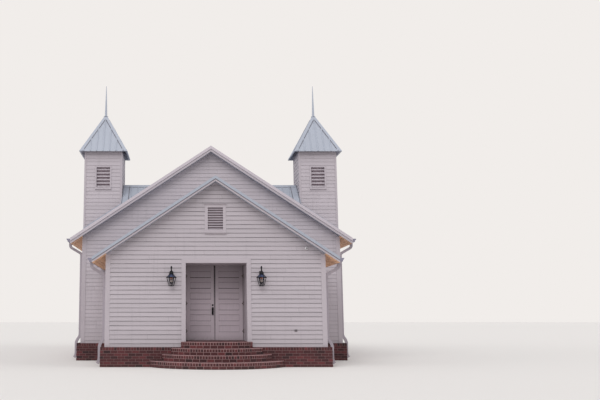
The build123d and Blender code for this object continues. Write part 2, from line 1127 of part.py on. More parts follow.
lantern_y = -lantern_rim_r - lantern_off
rim_z = lantern_z + lantern_body_h
cap_z = rim_z + lantern_hood_h
lanterns = []
glasses = []
for x in (entrance_x - lantern_x, entrance_x + lantern_x):
    plate = hexagon(x, lantern_y, lantern_z - lantern_plate_t, lantern_foot_r)
    body = extrude(plate, amount=lantern_plate_t)
    body += upright(x, lantern_y, lantern_z, lantern_candle_r, lantern_body_h * 0.6)
    rim = hexagon(x, lantern_y, rim_z, lantern_rim_r)
    body += extrude(rim, amount=lantern_plate_t)
    body += hex_frustum(
        x,
        lantern_y,
        rim_z + lantern_plate_t,
        lantern_rim_r - lantern_bar_r,
        cap_z,
        lantern_cap_r + lantern_bar_r,
    )
    body += upright(x, lantern_y, cap_z, lantern_cap_r, lantern_cap_h)
    spike_h = lantern_top_z - cap_z - lantern_cap_h
    body += upright(x, lantern_y, cap_z + lantern_cap_h, lantern_spike_r, spike_h)
    foot_corner = lantern_foot_r - lantern_bar_r
    rim_corner = lantern_rim_r - 2 * lantern_bar_r
    for k in range(6):
        turn = math.radians(60 * k)
        body += rod(
            (
                x + foot_corner * math.cos(turn),
                lantern_y + foot_corner * math.sin(turn),
                lantern_z - lantern_plate_t / 2,
            ),
            (
                x + rim_corner * math.cos(turn),
                lantern_y + rim_corner * math.sin(turn),
                rim_z + lantern_plate_t / 2,
            ),
            lantern_bar_r,
        )
    arm_z = cap_z + lantern_cap_h / 2
    body += block(
        x - lantern_arm_t / 2,
        x + lantern_arm_t / 2,
        lantern_y,
        0,
        arm_z - lantern_arm_t / 2,
        arm_z + lantern_arm_t / 2,
    )
    body += block(
        x - lantern_back_w / 2,
        x + lantern_back_w / 2,
        -lantern_back_t,
        0,
        arm_z - lantern_back_h,
        arm_z + lantern_back_w / 2,
    )
    pane_foot = foot_corner - 2 * lantern_bar_r
    pane_rim = rim_corner - 2 * lantern_bar_r
    pane = hex_frustum(x, lantern_y, lantern_z, pane_foot, rim_z, pane_rim)
    pane -= hex_frustum(
        x,
        lantern_y,
        lantern_z - 1,
        pane_foot - lantern_pane_t,
        rim_z + 1,
        pane_rim - lantern_pane_t,
    )
    lanterns.append(body)
    glasses.append(pane)
export_step(Compound(lanterns), "parts/lanterns.step")
export_step(Compound(glasses), "parts/lantern_glass.step")

# Small fittings on the front wall
camera_dome = Pos(camera_x, -35, camera_z) * Sphere(48)
camera_dome -= block(
    camera_x - 60,
    camera_x + 60,
    0,
    60,
    camera_z - 60,
    camera_z + 60,
)
export_step(camera_dome, "parts/wall_camera.step")

outlet_cover = block(
    outlet_x - 40,
    outlet_x + 40,
    -22,
    0,
    outlet_z - 30,
    outlet_z + 30,
)
export_step(outlet_cover, "parts/outlet_cover.step")
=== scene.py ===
"""Small chapel with two corner towers: siding, brickwork, metal roofs and finishes."""

import math
from contextlib import contextmanager
from functools import partial

import bmesh
import bpy
from mathutils import Matrix, Vector


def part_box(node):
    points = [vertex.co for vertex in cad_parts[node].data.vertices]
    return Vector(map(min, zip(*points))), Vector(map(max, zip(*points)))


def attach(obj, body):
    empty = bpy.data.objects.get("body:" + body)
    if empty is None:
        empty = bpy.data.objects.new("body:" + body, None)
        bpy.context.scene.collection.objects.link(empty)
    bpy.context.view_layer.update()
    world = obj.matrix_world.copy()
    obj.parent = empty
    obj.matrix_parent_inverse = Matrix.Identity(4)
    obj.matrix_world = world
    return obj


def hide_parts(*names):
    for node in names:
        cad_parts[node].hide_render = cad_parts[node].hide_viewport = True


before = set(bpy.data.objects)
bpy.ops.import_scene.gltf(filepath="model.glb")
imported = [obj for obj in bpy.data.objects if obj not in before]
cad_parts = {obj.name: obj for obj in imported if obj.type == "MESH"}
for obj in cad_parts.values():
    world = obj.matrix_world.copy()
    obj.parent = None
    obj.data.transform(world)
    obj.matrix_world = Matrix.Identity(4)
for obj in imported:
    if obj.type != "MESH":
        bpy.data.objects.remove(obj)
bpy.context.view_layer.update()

bl_info = {
    "name": "Small chapel",
    "version": (1, 0, 0),
    "blender": (4, 5, 0),
    "location": "3D View > Sidebar > Chapel",
    "description": "Dresses the chapel's frame with siding, bricks, metal roofs and paint",
    "category": "Object",
}

CHAPEL = "chapel"
SLOPE = 8 / 12
SADDLE_SLOPE = 10 / 12


def low(node):
    """The lowest corner of a node of the frame."""
    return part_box(node)[0]


def high(node):
    """The highest corner of a node of the frame."""
    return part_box(node)[1]


def screen_colour(red, green, blue):
    """A colour given as it looks on a screen, 0 to 255, as shader numbers."""
    shares = [value / 255 for value in (red, green, blue)]
    return tuple(s / 12.92 if s <= 0.04045 else ((s + 0.055) / 1.055) ** 2.4 for s in shares)


def length_property(name, description, default):
    """A length in metres that a user may change."""
    return bpy.props.FloatProperty(
        name=name, description=description, default=default, min=0.0, precision=4, unit="LENGTH"
    )


def colour_property(name, description, red, green, blue):
    """A surface colour that a user may change."""
    return bpy.props.FloatVectorProperty(
        name=name,
        description=description,
        default=screen_colour(red, green, blue),
        min=0.0,
        max=1.0,
        size=3,
        subtype="COLOR",
    )


# Sizes taken from the frame
PORCH_HALF = high("porch_front_walls").x
MAIN_HALF = high("main_front_walls").x
MAIN_FRONT = low("main_front_walls").y
MAIN_BACK = high("main_back_wall").y
PLINTH_TOP = high("main_plinth").z
PORCH_RIDGE = high("porch_roof_right").z
MAIN_RIDGE = high("main_roof_right").z
PORCH_REACH = high("porch_roof_right").x
MAIN_REACH = high("main_roof_right").x
PORCH_UNDER = high("porch_gable_wall").z
MAIN_UNDER = high("main_gable_wall").z
TOWER_IN = MAIN_HALF - (high("tower_walls").y - low("tower_walls").y)
TOWER_FRONT = low("tower_walls").y
TOWER_BACK = high("tower_walls").y
TOWER_MID = Vector(((TOWER_IN + MAIN_HALF) / 2, (TOWER_FRONT + TOWER_BACK) / 2))
TOWER_EAVE = low("tower_roofs").z
TOWER_EAVE_HALF = (high("tower_roofs").y - low("tower_roofs").y) / 2
TOWER_APEX = 8.83
SADDLE_RIDGE = high("saddle_roofs").z
CORNER_BOARD = 0.124
TOWER_CORNER = 0.055
HIP_CAP = 0.13
SADDLE_FLASHING = 0.25
SADDLE_CAP = 0.12
LANTERN_RIM = 0.142
LOUVER_FRAMES = {"porch_louver": 0.08, "tower_louvers": 0.04}
DOOR_STILE = 0.118
PANEL_FOOT = 0.98915
PANEL_HEIGHT = 0.21
PANEL_PITCH = 0.33817
FLAT_HEX = (0, 0, math.pi / 6)
STEP_CENTRE = (0.015, 0.9)
STEP_RADII = (2.2298, 1.92, 1.70, 1.478)
LANDING_INNER = 1.1

# Lengths and directions that several pieces share
FACINGS = {"front": 0, "right": math.pi / 2, "back": math.pi, "left": -math.pi / 2}
ROOF_DOWN = Vector((-SLOPE, 0, -1))
ABOUT_TOWERS = (3, 8)
TOWER_WALL_TOP = TOWER_EAVE - 0.005
INTO_WALL = 0.05
ROUND_OFF = 1e-6
CORNER_OUT = 0.016
BRICK_DEPTH = 0.045
ROWLOCK_DEPTH = 0.105
ROWLOCK_PITCH = 0.083
STRETCHER_PITCH = 0.211
CORNER_INSET = 0.052
PAVING_ROW = 0.1
STRAP_REACH = 0.127

# The lanterns: heights, and turned profiles as radius and height from ring to ring
BARS_FOOT = 2.376
BARS_TOP = 2.625
BARS_RIM = 0.137
HOOD_TOP = 2.735
ARM_HEIGHT = 2.773
CUP_TURN = 2.094
CUP_START = 0.5
CUP_REACH = 0.034
LANTERN_BASE = ((0.05, 2.364), (0.072, 2.367), (0.072, 2.375), (0.058, 2.381))
LANTERN_CAP = (
    ((0.05, 2.71), (0.068, 2.726), (0.068, 2.752), (0.058, 2.782), (0.044, 2.80))
    + ((0.03, 2.808), (0.022, 2.822), (0.019, 2.86), (0.022, 2.89))
    + ((0.026, 2.925), (0.021, 2.955), (0.006, 2.970))
)
LANTERN_CUP = ((0.012, 2.452), (0.019, 2.465), (0.022, 2.486), (0.013, 2.488))
CANDLE = ((0.009, 2.487), (0.0095, 2.535), (0.007, 2.54), (0.0035, 2.542), (0.001, 2.556))
SOCKET_CUP = ((0.012, 2.565), (0.03, 2.575), (0.034, 2.605), (0.036, 2.626), (0.02, 2.634))
PANES = ((0.060, 2.380), (0.129, 2.622))
HOOD_PANES = ((0.128, 2.634), (0.082, 2.684), (0.044, 2.732))

# The door handle and the camera's lens, measured from their feet
GRIP = (
    ((0.010, 0.018), (0.018, 0.03), (0.017, 0.075), (0.021, 0.13))
    + ((0.030, 0.18), (0.028, 0.21), (0.012, 0.228))
)
LOCK_ROSE = ((0.028, 0), (0.028, 0.006), (0.022, 0.012), (0.015, 0.013), (0.013, 0.02))
LENS = (
    ((0.023, 0), (0.026, 0.006), (0.024, 0.016), (0.019, 0.017), (0.017, 0.011))
    + ((0.011, 0.01), (0.009, 0.013), (0.003, 0.015))
)

# The stage: each sun's name, strength, tilt and turn in degrees
SUNS = (("key_light", 1.5, 44, -20), ("right_light", 0.9, 74, 82), ("left_light", 0.7, 74, -82))
SUN_SOFTNESS = 50
CAMERA_PLACE = (-1.0144, -23.4905, 1.456)
CAMERA_TURN = (98.558, 0, -0.148)
CAMERA_LENS = 46.67
CAMERA_SHIFT = 0.1933


class ChapelSiding(bpy.types.PropertyGroup):
    """Sizes of the lap siding."""

    exposure: length_property("Exposure", "Height of each board that shows", 0.132)
    lap: length_property("Lip", "How far a board's lower edge stands off the porch", 0.016)
    upper_lap: length_property("Upper lip", "The same on the main walls and the towers", 0.011)
    tail: length_property("Tail", "How far a board's upper edge stands off the wall", 0.002)
    porch_line: length_property("Porch line", "Height of one lower edge on the porch", 0.675)
    main_line: length_property("Main line", "Height of one lower edge on the main walls", 0.661)
    tower_line: length_property("Tower line", "Height of one lower edge on the towers", 0.587)
    board: length_property("Board", "Length of one board", 3.66)


class ChapelBricks(bpy.types.PropertyGroup):
    """Sizes of the bricks."""

    length: length_property("Length", "A brick's long side", 0.201)
    height: length_property("Height", "A brick's height on its bed", 0.0685)
    joint: length_property("Joint", "Width of the mortar joints", 0.010)
    edge: length_property("Edge", "Rounding of a brick's edges", 0.003)
    proud: length_property("Proud", "How far a brick stands off its mortar", 0.005)
    rowlock: length_property("Rowlock", "Height of the course of bricks on edge", 0.092)


class ChapelRoofs(bpy.types.PropertyGroup):
    """Sizes of the metal roofing."""

    pitch: length_property("Rib spacing", "From one rib to the next", 0.229)
    rib_width: length_property("Rib width", "Width of a rib's foot", 0.046)
    rib_top: length_property("Rib top", "Width of a rib's top", 0.018)
    rib_height: length_property("Rib height", "How far a rib stands up", 0.019)


class ChapelColours(bpy.types.PropertyGroup):
    """Colours of the finishes."""

    siding: colour_property("Siding", "Paint on the lap siding", 182, 173, 179)
    trim: colour_property("Trim", "Paint on corner boards, casings and rakes", 176, 167, 173)
    door: colour_property("Doors", "Paint on the entrance doors", 192, 178, 186)
    roof: colour_property("Roofs", "Pale coated roof metal", 164, 169, 181)
    spout: colour_property("Rainwater", "Gutters and downspouts", 162, 153, 161)
    brick_dark: colour_property("Dark brick", "The darkest bricks", 36, 16, 20)
    brick_light: colour_property("Light brick", "The lightest bricks", 102, 48, 51)
    mortar: colour_property("Mortar", "Joints between the bricks", 124, 100, 99)
    # Painted light: the soffits' stain is made lighter, standing in for warm light from below.
    soffit: colour_property("Soffits", "Stained boards under the eaves", 238, 190, 150)
    iron: colour_property("Iron", "Lanterns and door handle", 15, 13, 18)
    ground: colour_property("Ground", "The plain floor of the stage", 226, 222, 219)
    sky: colour_property("Sky", "The backdrop behind the chapel", 241, 237, 234)


# Modelling


def only(obj):
    """Selects one object alone and makes it active."""
    bpy.ops.object.select_all(action="DESELECT")
    obj.select_set(True)
    bpy.context.view_layer.objects.active = obj


@contextmanager
def editing(obj, kind="FACE"):
    """Edit mode on one object with nothing selected."""
    only(obj)
    bpy.ops.object.mode_set(mode="EDIT")
    bpy.ops.mesh.select_mode(type=kind)
    bpy.ops.mesh.select_all(action="DESELECT")
    yield
    bpy.ops.object.mode_set(mode="OBJECT")


def pick_faces(obj, test):
    """In edit mode, selects the faces whose middle and normal pass a test."""
    mesh = bmesh.from_edit_mesh(obj.data)
    for face in mesh.faces:
        face.select_set(bool(test(face.calc_center_median(), face.normal)))
    bmesh.update_edit_mesh(obj.data)


def pick_edges(obj, test):
    """In edit mode, selects the edges whose two ends pass a test."""
    mesh = bmesh.from_edit_mesh(obj.data)
    for edge in mesh.edges:
        edge.select_set(bool(test(edge.verts[0].co, edge.verts[1].co)))
    bmesh.update_edit_mesh(obj.data)


def pick_points(obj, test):
    """In edit mode, selects the points that pass a test."""
    bpy.ops.mesh.select_all(action="DESELECT")
    mesh = bmesh.from_edit_mesh(obj.data)
    for point in mesh.verts:
        point.select_set(bool(test(point.co)))
    mesh.select_flush(True)
    bmesh.update_edit_mesh(obj.data)


def extrude(way):
    """In edit mode, extrudes what is selected."""
    bpy.ops.mesh.extrude_region_move(TRANSFORM_OT_translate={"value": way})


def face_outward():
    """In edit mode, turns all faces outward."""
    bpy.ops.mesh.select_all(action="SELECT")
    bpy.ops.mesh.normals_make_consistent(inside=False)


def settle(obj):
    """Moves an object's place, turn and scale into its mesh."""
    only(obj)
    bpy.ops.object.transform_apply(location=True, rotation=True, scale=True)
    return obj


def set_down(obj, place=(0, 0, 0), turn=(0, 0, 0)):
    """Turns a piece about the origin, moves it, and settles it."""
    obj.location = place
    obj.rotation_euler = turn
    return settle(obj)


def block(x0, x1, y0, y1, z0, z1):
    """A box between two corners."""
    bpy.ops.object.select_all(action="DESELECT")
    bpy.ops.mesh.primitive_cube_add(size=1)
    obj = bpy.context.active_object
    obj.scale = (x1 - x0, y1 - y0, z1 - z0)
    return set_down(obj, ((x0 + x1) / 2, (y0 + y1) / 2, (z0 + z1) / 2))


def taper(foot, top, height, place, sides, turn=(0, 0, 0)):
    """An upright cone or drum on a point, foot and top being its radii."""
    bpy.ops.object.select_all(action="DESELECT")
    bpy.ops.mesh.primitive_cone_add(
        vertices=sides, radius1=foot, radius2=top, depth=height, location=(0, 0, height / 2)
    )
    obj = settle(bpy.context.active_object)
    return set_down(obj, place, turn)


def ball(radius, place, rings=10):
    """A sphere."""
    bpy.ops.object.select_all(action="DESELECT")
    bpy.ops.mesh.primitive_uv_sphere_add(
        radius=radius, location=place, segments=2 * rings, ring_count=rings
    )
    return settle(bpy.context.active_object)


def rod(start, end, radius, sides=8):
    """A round bar between two points."""
    way = Vector(end) - Vector(start)
    turn = way.to_track_quat("Z", "Y").to_euler()
    return taper(radius, radius, way.length, start, sides, turn)


def turned(rings, sides, place=(0, 0, 0), turn=(0, 0, 0)):
    """A turned piece built up from one ring to the next; a ring is a radius and a height."""
    radius, level = rings[0]
    bpy.ops.object.select_all(action="DESELECT")
    bpy.ops.mesh.primitive_circle_add(
        vertices=sides, radius=radius, fill_type="NGON", location=(0, 0, level)
    )
    obj = settle(bpy.context.active_object)
    with editing(obj):
        bpy.ops.mesh.select_all(action="SELECT")
        for wide, height in rings[1:]:
            extrude((0, 0, height - level))
            share = wide / radius
            bpy.ops.transform.resize(value=(share, share, 1), center_override=(0, 0, height))
            radius, level = wide, height
        face_outward()
    return set_down(obj, place, turn)


def ring(radius, thickness, place, sides, turn=(0, 0, 0)):
    """A hoop that lies flat."""
    bpy.ops.object.select_all(action="DESELECT")
    bpy.ops.mesh.primitive_torus_add(
        major_radius=radius, minor_radius=thickness, major_segments=sides, minor_segments=6
    )
    return set_down(settle(bpy.context.active_object), place, turn)


def smooth(obj, degrees=40):
    """Shades all but the sharp edges smooth."""
    only(obj)
    bpy.ops.object.shade_smooth_by_angle(angle=math.radians(degrees))
    return obj


def mitred_frame(x0, x1, z0, z1, y0, y1, width, edge=0.002):
    """Four bars round an opening, cut to 45 degrees where they meet."""
    cuts = (
        (block(x0, x1, y0, y1, z0, z0 + width), (x0, z0, -1, 1), (x1, z0, 1, 1)),
        (block(x0, x1, y0, y1, z1 - width, z1), (x0, z1, -1, -1), (x1, z1, 1, -1)),
        (block(x0, x0 + width, y0, y1, z0, z1), (x0, z0, 1, -1), (x0, z1, 1, 1)),
        (block(x1 - width, x1, y0, y1, z0, z1), (x1, z0, -1, -1), (x1, z1, -1, 1)),
    )
    bars = []
    for bar, *ends in cuts:
        for x, z, across, up in ends:
            trim(bar, (x, 0, z), (across, 0, up))
        bars.append(round_edges(bar, edge))
    return join(bars)


def modify(obj, kind, **settings):
    """Adds a modifier with its settings and applies it."""
    only(obj)
    modifier = obj.modifiers.new(kind.title(), kind)
    for key, value in settings.items():
        setattr(modifier, key, value)
    bpy.ops.object.modifier_apply(modifier=modifier.name)
    return obj


def round_edges(obj, width, segments=1):
    """Bevels all sharp edges."""
    return modify(obj, "BEVEL", width=width, segments=segments, limit_method="ANGLE")


def repeat(obj, count, step, merge=False):
    """Repeats a piece in a row."""
    return modify(
        obj,
        "ARRAY",
        count=max(1, count),
        use_relative_offset=False,
        use_constant_offset=True,
        constant_offset_displace=step,
        use_merge_vertices=merge,
        merge_threshold=0.0002,
    )


def trim(obj, point, outward):
    """Cuts off what lies beyond a plane and closes the cut."""
    normal = Vector(outward).normalized()
    with editing(obj):
        bpy.ops.mesh.select_all(action="SELECT")
        bpy.ops.mesh.bisect(
            plane_co=point, plane_no=normal, use_fill=True, clear_outer=True, threshold=0.00002
        )
    return obj


def cut_hole(obj, hole):
    """Takes one closed piece's shape out of another, and deletes it."""
    modify(obj, "BOOLEAN", operation="DIFFERENCE", object=hole, solver="EXACT")
    bpy.data.objects.remove(hole)


def copy_of(obj, place=(0, 0, 0), turn=(0, 0, 0)):
    """A copy with its own mesh, turned about the origin and moved."""
    only(obj)
    bpy.ops.object.duplicate(linked=False)
    return set_down(bpy.context.active_object, place, turn)


def mirrored(obj):
    """A copy on the other side of the chapel's middle plane."""
    twin = copy_of(obj)
    twin.scale = (-1, 1, 1)
    settle(twin)
    with editing(twin):
        face_outward()
    return twin


def join(parts):
    """Makes one mesh of several."""
    bpy.ops.object.select_all(action="DESELECT")
    for part in parts:
        part.select_set(True)
    bpy.context.view_layer.objects.active = parts[0]
    if len(parts) > 1:
        bpy.ops.object.join()
    return bpy.context.view_layer.objects.active


def both_sides(obj):
    """A piece joined with its mirror image."""
    return join([obj, mirrored(obj)])


def dress(obj, finish):
    """Gives a piece one material."""
    obj.data.materials.clear()
    obj.data.materials.append(finish)
    return obj


def hand_over(obj, name, body=CHAPEL, finish=None):
    """Names a finished piece, and makes it ride on its body."""
    obj.name = name
    obj.data.name = name
    if finish is not None:
        dress(obj, finish)
    settle(obj)
    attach(obj, body)
    return obj


# Siding


def slope_at(ridge, x):
    """The height of a roof slope at a distance from its ridge."""
    return ridge - SLOPE * x


def beneath(height, side=1):
    """A cut that removes what lies above a roof slope."""
    return (0, height), (side * SLOPE, 1)


def above(height, side=1):
    """A cut that removes what lies below a roof slope."""
    return (0, height), (-side * SLOPE, -1)


def under_gable(height):
    """The cuts under both slopes of a gable."""
    return [beneath(height, 1), beneath(height, -1)]


def siding_run(sizes, line, x0, x1, z0, z1, cuts=()):
    """A saw-toothed slab of lapped boards that faces -Y, with its back on y = 0."""
    lap = sizes.lap if line == sizes.porch_line else sizes.upper_lap
    rows_below = math.ceil((line - z0) / sizes.exposure - ROUND_OFF)
    start = line - rows_below * sizes.exposure
    rows = math.ceil((z1 - start) / sizes.exposure - ROUND_OFF)
    middle = start + sizes.exposure / 2
    bpy.ops.object.select_all(action="DESELECT")
    bpy.ops.mesh.primitive_plane_add(size=1, rotation=(math.pi / 2, 0, 0))
    obj = bpy.context.active_object
    obj.location = ((x0 + x1) / 2, 0, middle)
    obj.scale = (x1 - x0, sizes.exposure, 1)
    settle(obj)
    with editing(obj, "VERT"):
        pick_points(obj, lambda p: p.z < middle)
        bpy.ops.transform.translate(value=(0, -lap, 0))
        pick_points(obj, lambda p: p.z > middle)
        bpy.ops.transform.translate(value=(0, -sizes.tail, 0))
        extrude((0, sizes.tail - lap, 0))
    repeat(obj, rows, (0, 0, sizes.exposure), merge=True)
    with editing(obj):
        bpy.ops.mesh.select_all(action="SELECT")
        extrude((0, INTO_WALL, 0))
        face_outward()
    trim(obj, (0, 0, 0), (0, 1, 0))
    trim(obj, (0, 0, z0), (0, 0, -1))
    trim(obj, (0, 0, z1), (0, 0, 1))
    for (x, z), (across, up) in cuts:
        trim(obj, (x, 0, z), (across, 0, up))
    return obj


def wall(facing, place, *runs):
    """Joins runs of siding or bricks and sets them on a wall: front, right, back or left."""
    return set_down(join(runs), place, (0, 0, FACINGS[facing]))


def porch_siding(sizes):
    """Siding on the porch, with gaps for the entrance casing and the louver."""
    run = partial(siding_run, sizes, sizes.porch_line)
    edge = PORCH_HALF - CORNER_BOARD
    casing_low, casing_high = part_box("entrance_casing")
    louver_low, louver_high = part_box("porch_louver")
    side, head = louver_high.x, casing_high.z
    slopes = under_gable(PORCH_UNDER)
    front = wall(
        "front",
        (0, 0, 0),
        run(-edge, casing_low.x, PLINTH_TOP, head),
        run(casing_high.x, edge, PLINTH_TOP, head),
        run(-edge, -side, head, PORCH_UNDER, slopes),
        run(side, edge, head, PORCH_UNDER, slopes),
        run(-side, side, head, louver_low.z),
        run(-side, side, louver_high.z, PORCH_UNDER, slopes),
    )
    eave = slope_at(PORCH_UNDER, PORCH_HALF)
    right = wall("right", (PORCH_HALF, 0, 0), run(CORNER_BOARD, MAIN_FRONT, PLINTH_TOP, eave))
    return join([front, right, mirrored(right)])


def main_siding(sizes):
    """Siding on the main front beside and above the porch, on the sides and the back."""
    run = partial(siding_run, sizes, sizes.main_line)
    edge = MAIN_HALF - CORNER_BOARD
    over_porch = [above(PORCH_RIDGE), beneath(MAIN_UNDER)]
    roof_edge, porch_eave = slope_at(PORCH_RIDGE, PORCH_REACH), slope_at(PORCH_UNDER, PORCH_HALF)
    beside, main_cut = slope_at(MAIN_UNDER, PORCH_REACH), [beneath(MAIN_UNDER)]
    porch_side, porch_cut = PORCH_HALF + sizes.lap, [beneath(PORCH_UNDER)]
    front = wall(
        "front",
        (0, MAIN_FRONT, 0),
        run(0, PORCH_REACH, roof_edge, MAIN_UNDER, over_porch),
        run(PORCH_REACH, edge, PLINTH_TOP, beside, main_cut),
        run(porch_side, PORCH_REACH, PLINTH_TOP, porch_eave, porch_cut),
    )
    eave = slope_at(MAIN_UNDER, MAIN_HALF)
    side = run(MAIN_FRONT + CORNER_BOARD, MAIN_BACK - CORNER_BOARD, PLINTH_TOP, eave)
    right = wall("right", (MAIN_HALF, 0, 0), side)
    gable = run(-edge, edge, PLINTH_TOP, MAIN_UNDER, under_gable(MAIN_UNDER))
    back = wall("back", (0, MAIN_BACK, 0), gable)
    return join([front, mirrored(front), right, mirrored(right), back])


def tower_siding(sizes):
    """Siding on the four sides of both towers, above the roofs."""
    run = partial(siding_run, sizes, sizes.tower_line)
    top = TOWER_WALL_TOP
    left, right = TOWER_IN + TOWER_CORNER, MAIN_HALF - TOWER_CORNER
    near, far = TOWER_FRONT + TOWER_CORNER, TOWER_BACK - TOWER_CORNER
    louver_low, louver_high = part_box("tower_louvers")
    frame_high = louver_high.x
    frame_low = TOWER_MID.x - (frame_high - TOWER_MID.x)
    roof = [above(MAIN_RIDGE)]
    eave = slope_at(MAIN_RIDGE, MAIN_HALF)
    foot = eave - INTO_WALL
    front = wall(
        "front",
        (0, TOWER_FRONT, 0),
        run(left, frame_low, foot, top, roof),
        run(frame_high, right, foot, top, roof),
        run(frame_low, frame_high, foot, louver_low.z, roof),
        run(frame_low, frame_high, louver_high.z, top),
    )
    back_run = run(-right, -left, foot, top, [above(MAIN_RIDGE, -1)])
    back = wall("back", (0, TOWER_BACK, 0), back_run)
    outer = wall("right", (MAIN_HALF, 0, 0), run(near, far, eave, top))
    inner_run = run(-far, -near, slope_at(MAIN_RIDGE, TOWER_IN), top)
    inner = wall("left", (TOWER_IN, 0, 0), inner_run)
    return both_sides(join([front, back, outer, inner]))


def tower_corners():
    """Narrow boards on the towers' corners."""
    boards = []
    for x, outward in ((TOWER_IN, -1), (MAIN_HALF, 1)):
        for y, back in ((TOWER_FRONT, -1), (TOWER_BACK, 1)):
            out_x, out_y = x + outward * CORNER_OUT, y + back * CORNER_OUT
            spans = (
                (sorted((out_x, x - outward * TOWER_CORNER)), sorted((out_y, y))),
                (sorted((out_x, x)), sorted((y, y - back * TOWER_CORNER))),
            )
            for xs, ys in spans:
                board = round_edges(block(*xs, *ys, ABOUT_TOWERS[0], TOWER_WALL_TOP), 0.002)
                boards.append(trim(board, (0, 0, MAIN_RIDGE), ROOF_DOWN))
    return both_sides(join(boards))


# Bricks


def brick(length, depth, height, edge):
    """One brick with softened edges, its corner at the origin, its face on y = 0."""
    obj = block(0, length, 0, depth, 0, height)
    return round_edges(obj, edge)


def brick_face(sizes, x0, x1, z0, z1):
    """Running bond under a course of bricks on edge; its face is on y = 0, facing -Y."""
    pitch = sizes.length + sizes.joint
    top_course = z1 - sizes.rowlock
    rows = round((top_course - z0) / (sizes.height + sizes.joint))
    rise = (top_course - z0) / rows
    count = math.ceil((x1 - x0) / pitch) + 1
    courses = []
    for odd in (0, 1):
        course = brick(sizes.length, BRICK_DEPTH, rise - sizes.joint, sizes.edge)
        set_down(course, (x0 - odd * pitch / 2, 0, z0 + odd * rise))
        repeat(course, count, (pitch, 0, 0))
        repeat(course, math.ceil((rows - odd) / 2), (0, 0, 2 * rise))
        courses.append(course)
    narrow = round((x1 - x0) / ROWLOCK_PITCH)
    step = (x1 - x0) / narrow
    edge_brick = brick(step - sizes.joint, ROWLOCK_DEPTH, sizes.rowlock, sizes.edge)
    set_down(edge_brick, (x0 + sizes.joint / 2, 0, top_course))
    courses.append(repeat(edge_brick, narrow, (step, 0, 0)))
    face = join(courses)
    trim(face, (x0, 0, 0), (-1, 0, 0))
    return trim(face, (x1, 0, 0), (1, 0, 0))


def plinth_bricks(sizes):
    """Face bricks round the porch's and the main plinth."""
    proud = sizes.proud
    face = partial(brick_face, sizes, z0=0, z1=PLINTH_TOP + proud)
    porch, porch_front = high("porch_plinth").x + proud, low("porch_plinth").y
    main, main_front = high("main_plinth").x + proud, low("main_plinth").y
    main_back = high("main_plinth").y
    front = wall("front", (0, porch_front - proud, 0), face(-porch, porch))
    porch_run = face(porch_front + CORNER_INSET, main_front - proud)
    porch_side = wall("right", (porch, 0, 0), porch_run)
    main_return = wall("front", (0, main_front - proud, 0), face(porch + sizes.joint, main))
    main_run = face(main_front + CORNER_INSET, main_back - CORNER_INSET)
    main_side = wall("right", (main, 0, 0), main_run)
    back = wall("back", (0, main_back + proud, 0), face(-main, main))
    half = join([porch_side, main_return, main_side])
    return join([front, back, half, mirrored(half)])


def arc_of_bricks(outer, inner, z0, z1, pitch, joint, edge, reach):
    """Bricks set side by side round an arc that faces -Y, about the origin.

    The first stands at the right end, because the spin goes clockwise seen from above.
    """
    count = max(2, round(2 * reach * outer / pitch))
    turn = 2 * reach / count
    width = turn * outer - joint
    obj = block(-width / 2, width / 2, -outer, -inner, z0, z1)
    with editing(obj):
        pick_faces(obj, lambda c, n: n.y > 0.5)
        bpy.ops.transform.resize(value=(inner / outer, 1, 1), center_override=(0, 0, 0))
    round_edges(obj, edge)
    set_down(obj, turn=(0, 0, reach - turn / 2))
    with editing(obj):
        bpy.ops.mesh.select_all(action="SELECT")
        bpy.ops.mesh.spin(
            steps=count - 1, dupli=True, angle=turn * (count - 1), center=(0, 0, 0), axis=(0, 0, 1)
        )
    return obj


def step_brickwork(sizes):
    """Round brick steps: bricks on edge over a stretcher course, on a bed of mortar."""
    centre = Vector(STEP_CENTRE)
    back = high("brick_steps").y
    rise = high("brick_steps").z / 4
    bricks, beds = [], []
    for level, radius in enumerate(STEP_RADII):
        reach = math.acos((centre.y - back) / radius) + 0.06
        foot = level * rise
        edge_foot = foot + rise - sizes.rowlock
        inner = STEP_RADII[level + 1] - 0.01 if level < 3 else LANDING_INNER
        stretcher_top = edge_foot - sizes.joint
        common = (sizes.joint * 1.5, sizes.edge, reach)
        edges = (edge_foot, foot + rise, ROWLOCK_PITCH, *common)
        stretchers = (foot + 0.002, stretcher_top, STRETCHER_PITCH, *common)
        bricks.append(arc_of_bricks(radius, radius - 0.10, *stretchers))
        bricks.append(arc_of_bricks(radius, radius - 0.20, *edges))
        if radius - 0.21 > inner + 0.03:
            bricks.append(arc_of_bricks(radius - 0.21, inner, *edges))
        bed = taper(radius - 0.006, radius - 0.006, foot + rise - 0.006, (0, 0, 0), 96)
        beds.append(trim(bed, (0, back - centre.y, 0), (0, 1, 0)))
    laid = trim(join(bricks), (0, back - centre.y - 0.001, 0), (0, 1, 0))
    for piece in (laid, *beds):
        set_down(piece, (centre.x, centre.y, 0))
    return laid, join(beds)


def recess_paving(sizes):
    """Bricks laid flat over the floor of the entrance recess."""
    floor_low, floor_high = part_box("recess_floor")
    pitch = sizes.length + sizes.joint
    width = floor_high.x - floor_low.x
    depth = low("door_frame").y - floor_low.y
    rows = round(depth / PAVING_ROW)
    step = depth / rows
    courses = []
    for odd in (0, 1):
        course = brick(sizes.length, step - sizes.joint, 0.03, sizes.edge)
        left = floor_low.x - (1 + odd) * pitch / 2
        set_down(course, (left, floor_low.y + odd * step, floor_high.z - 0.027))
        repeat(course, math.ceil(width / pitch) + 2, (pitch, 0, 0))
        courses.append(repeat(course, math.ceil((rows - odd) / 2), (0, 2 * step, 0)))
    paving = join(courses)
    trim(paving, (floor_low.x + 0.002, 0, 0), (-1, 0, 0))
    return trim(paving, (floor_high.x - 0.002, 0, 0), (1, 0, 0))


# Doors, louvers and fittings


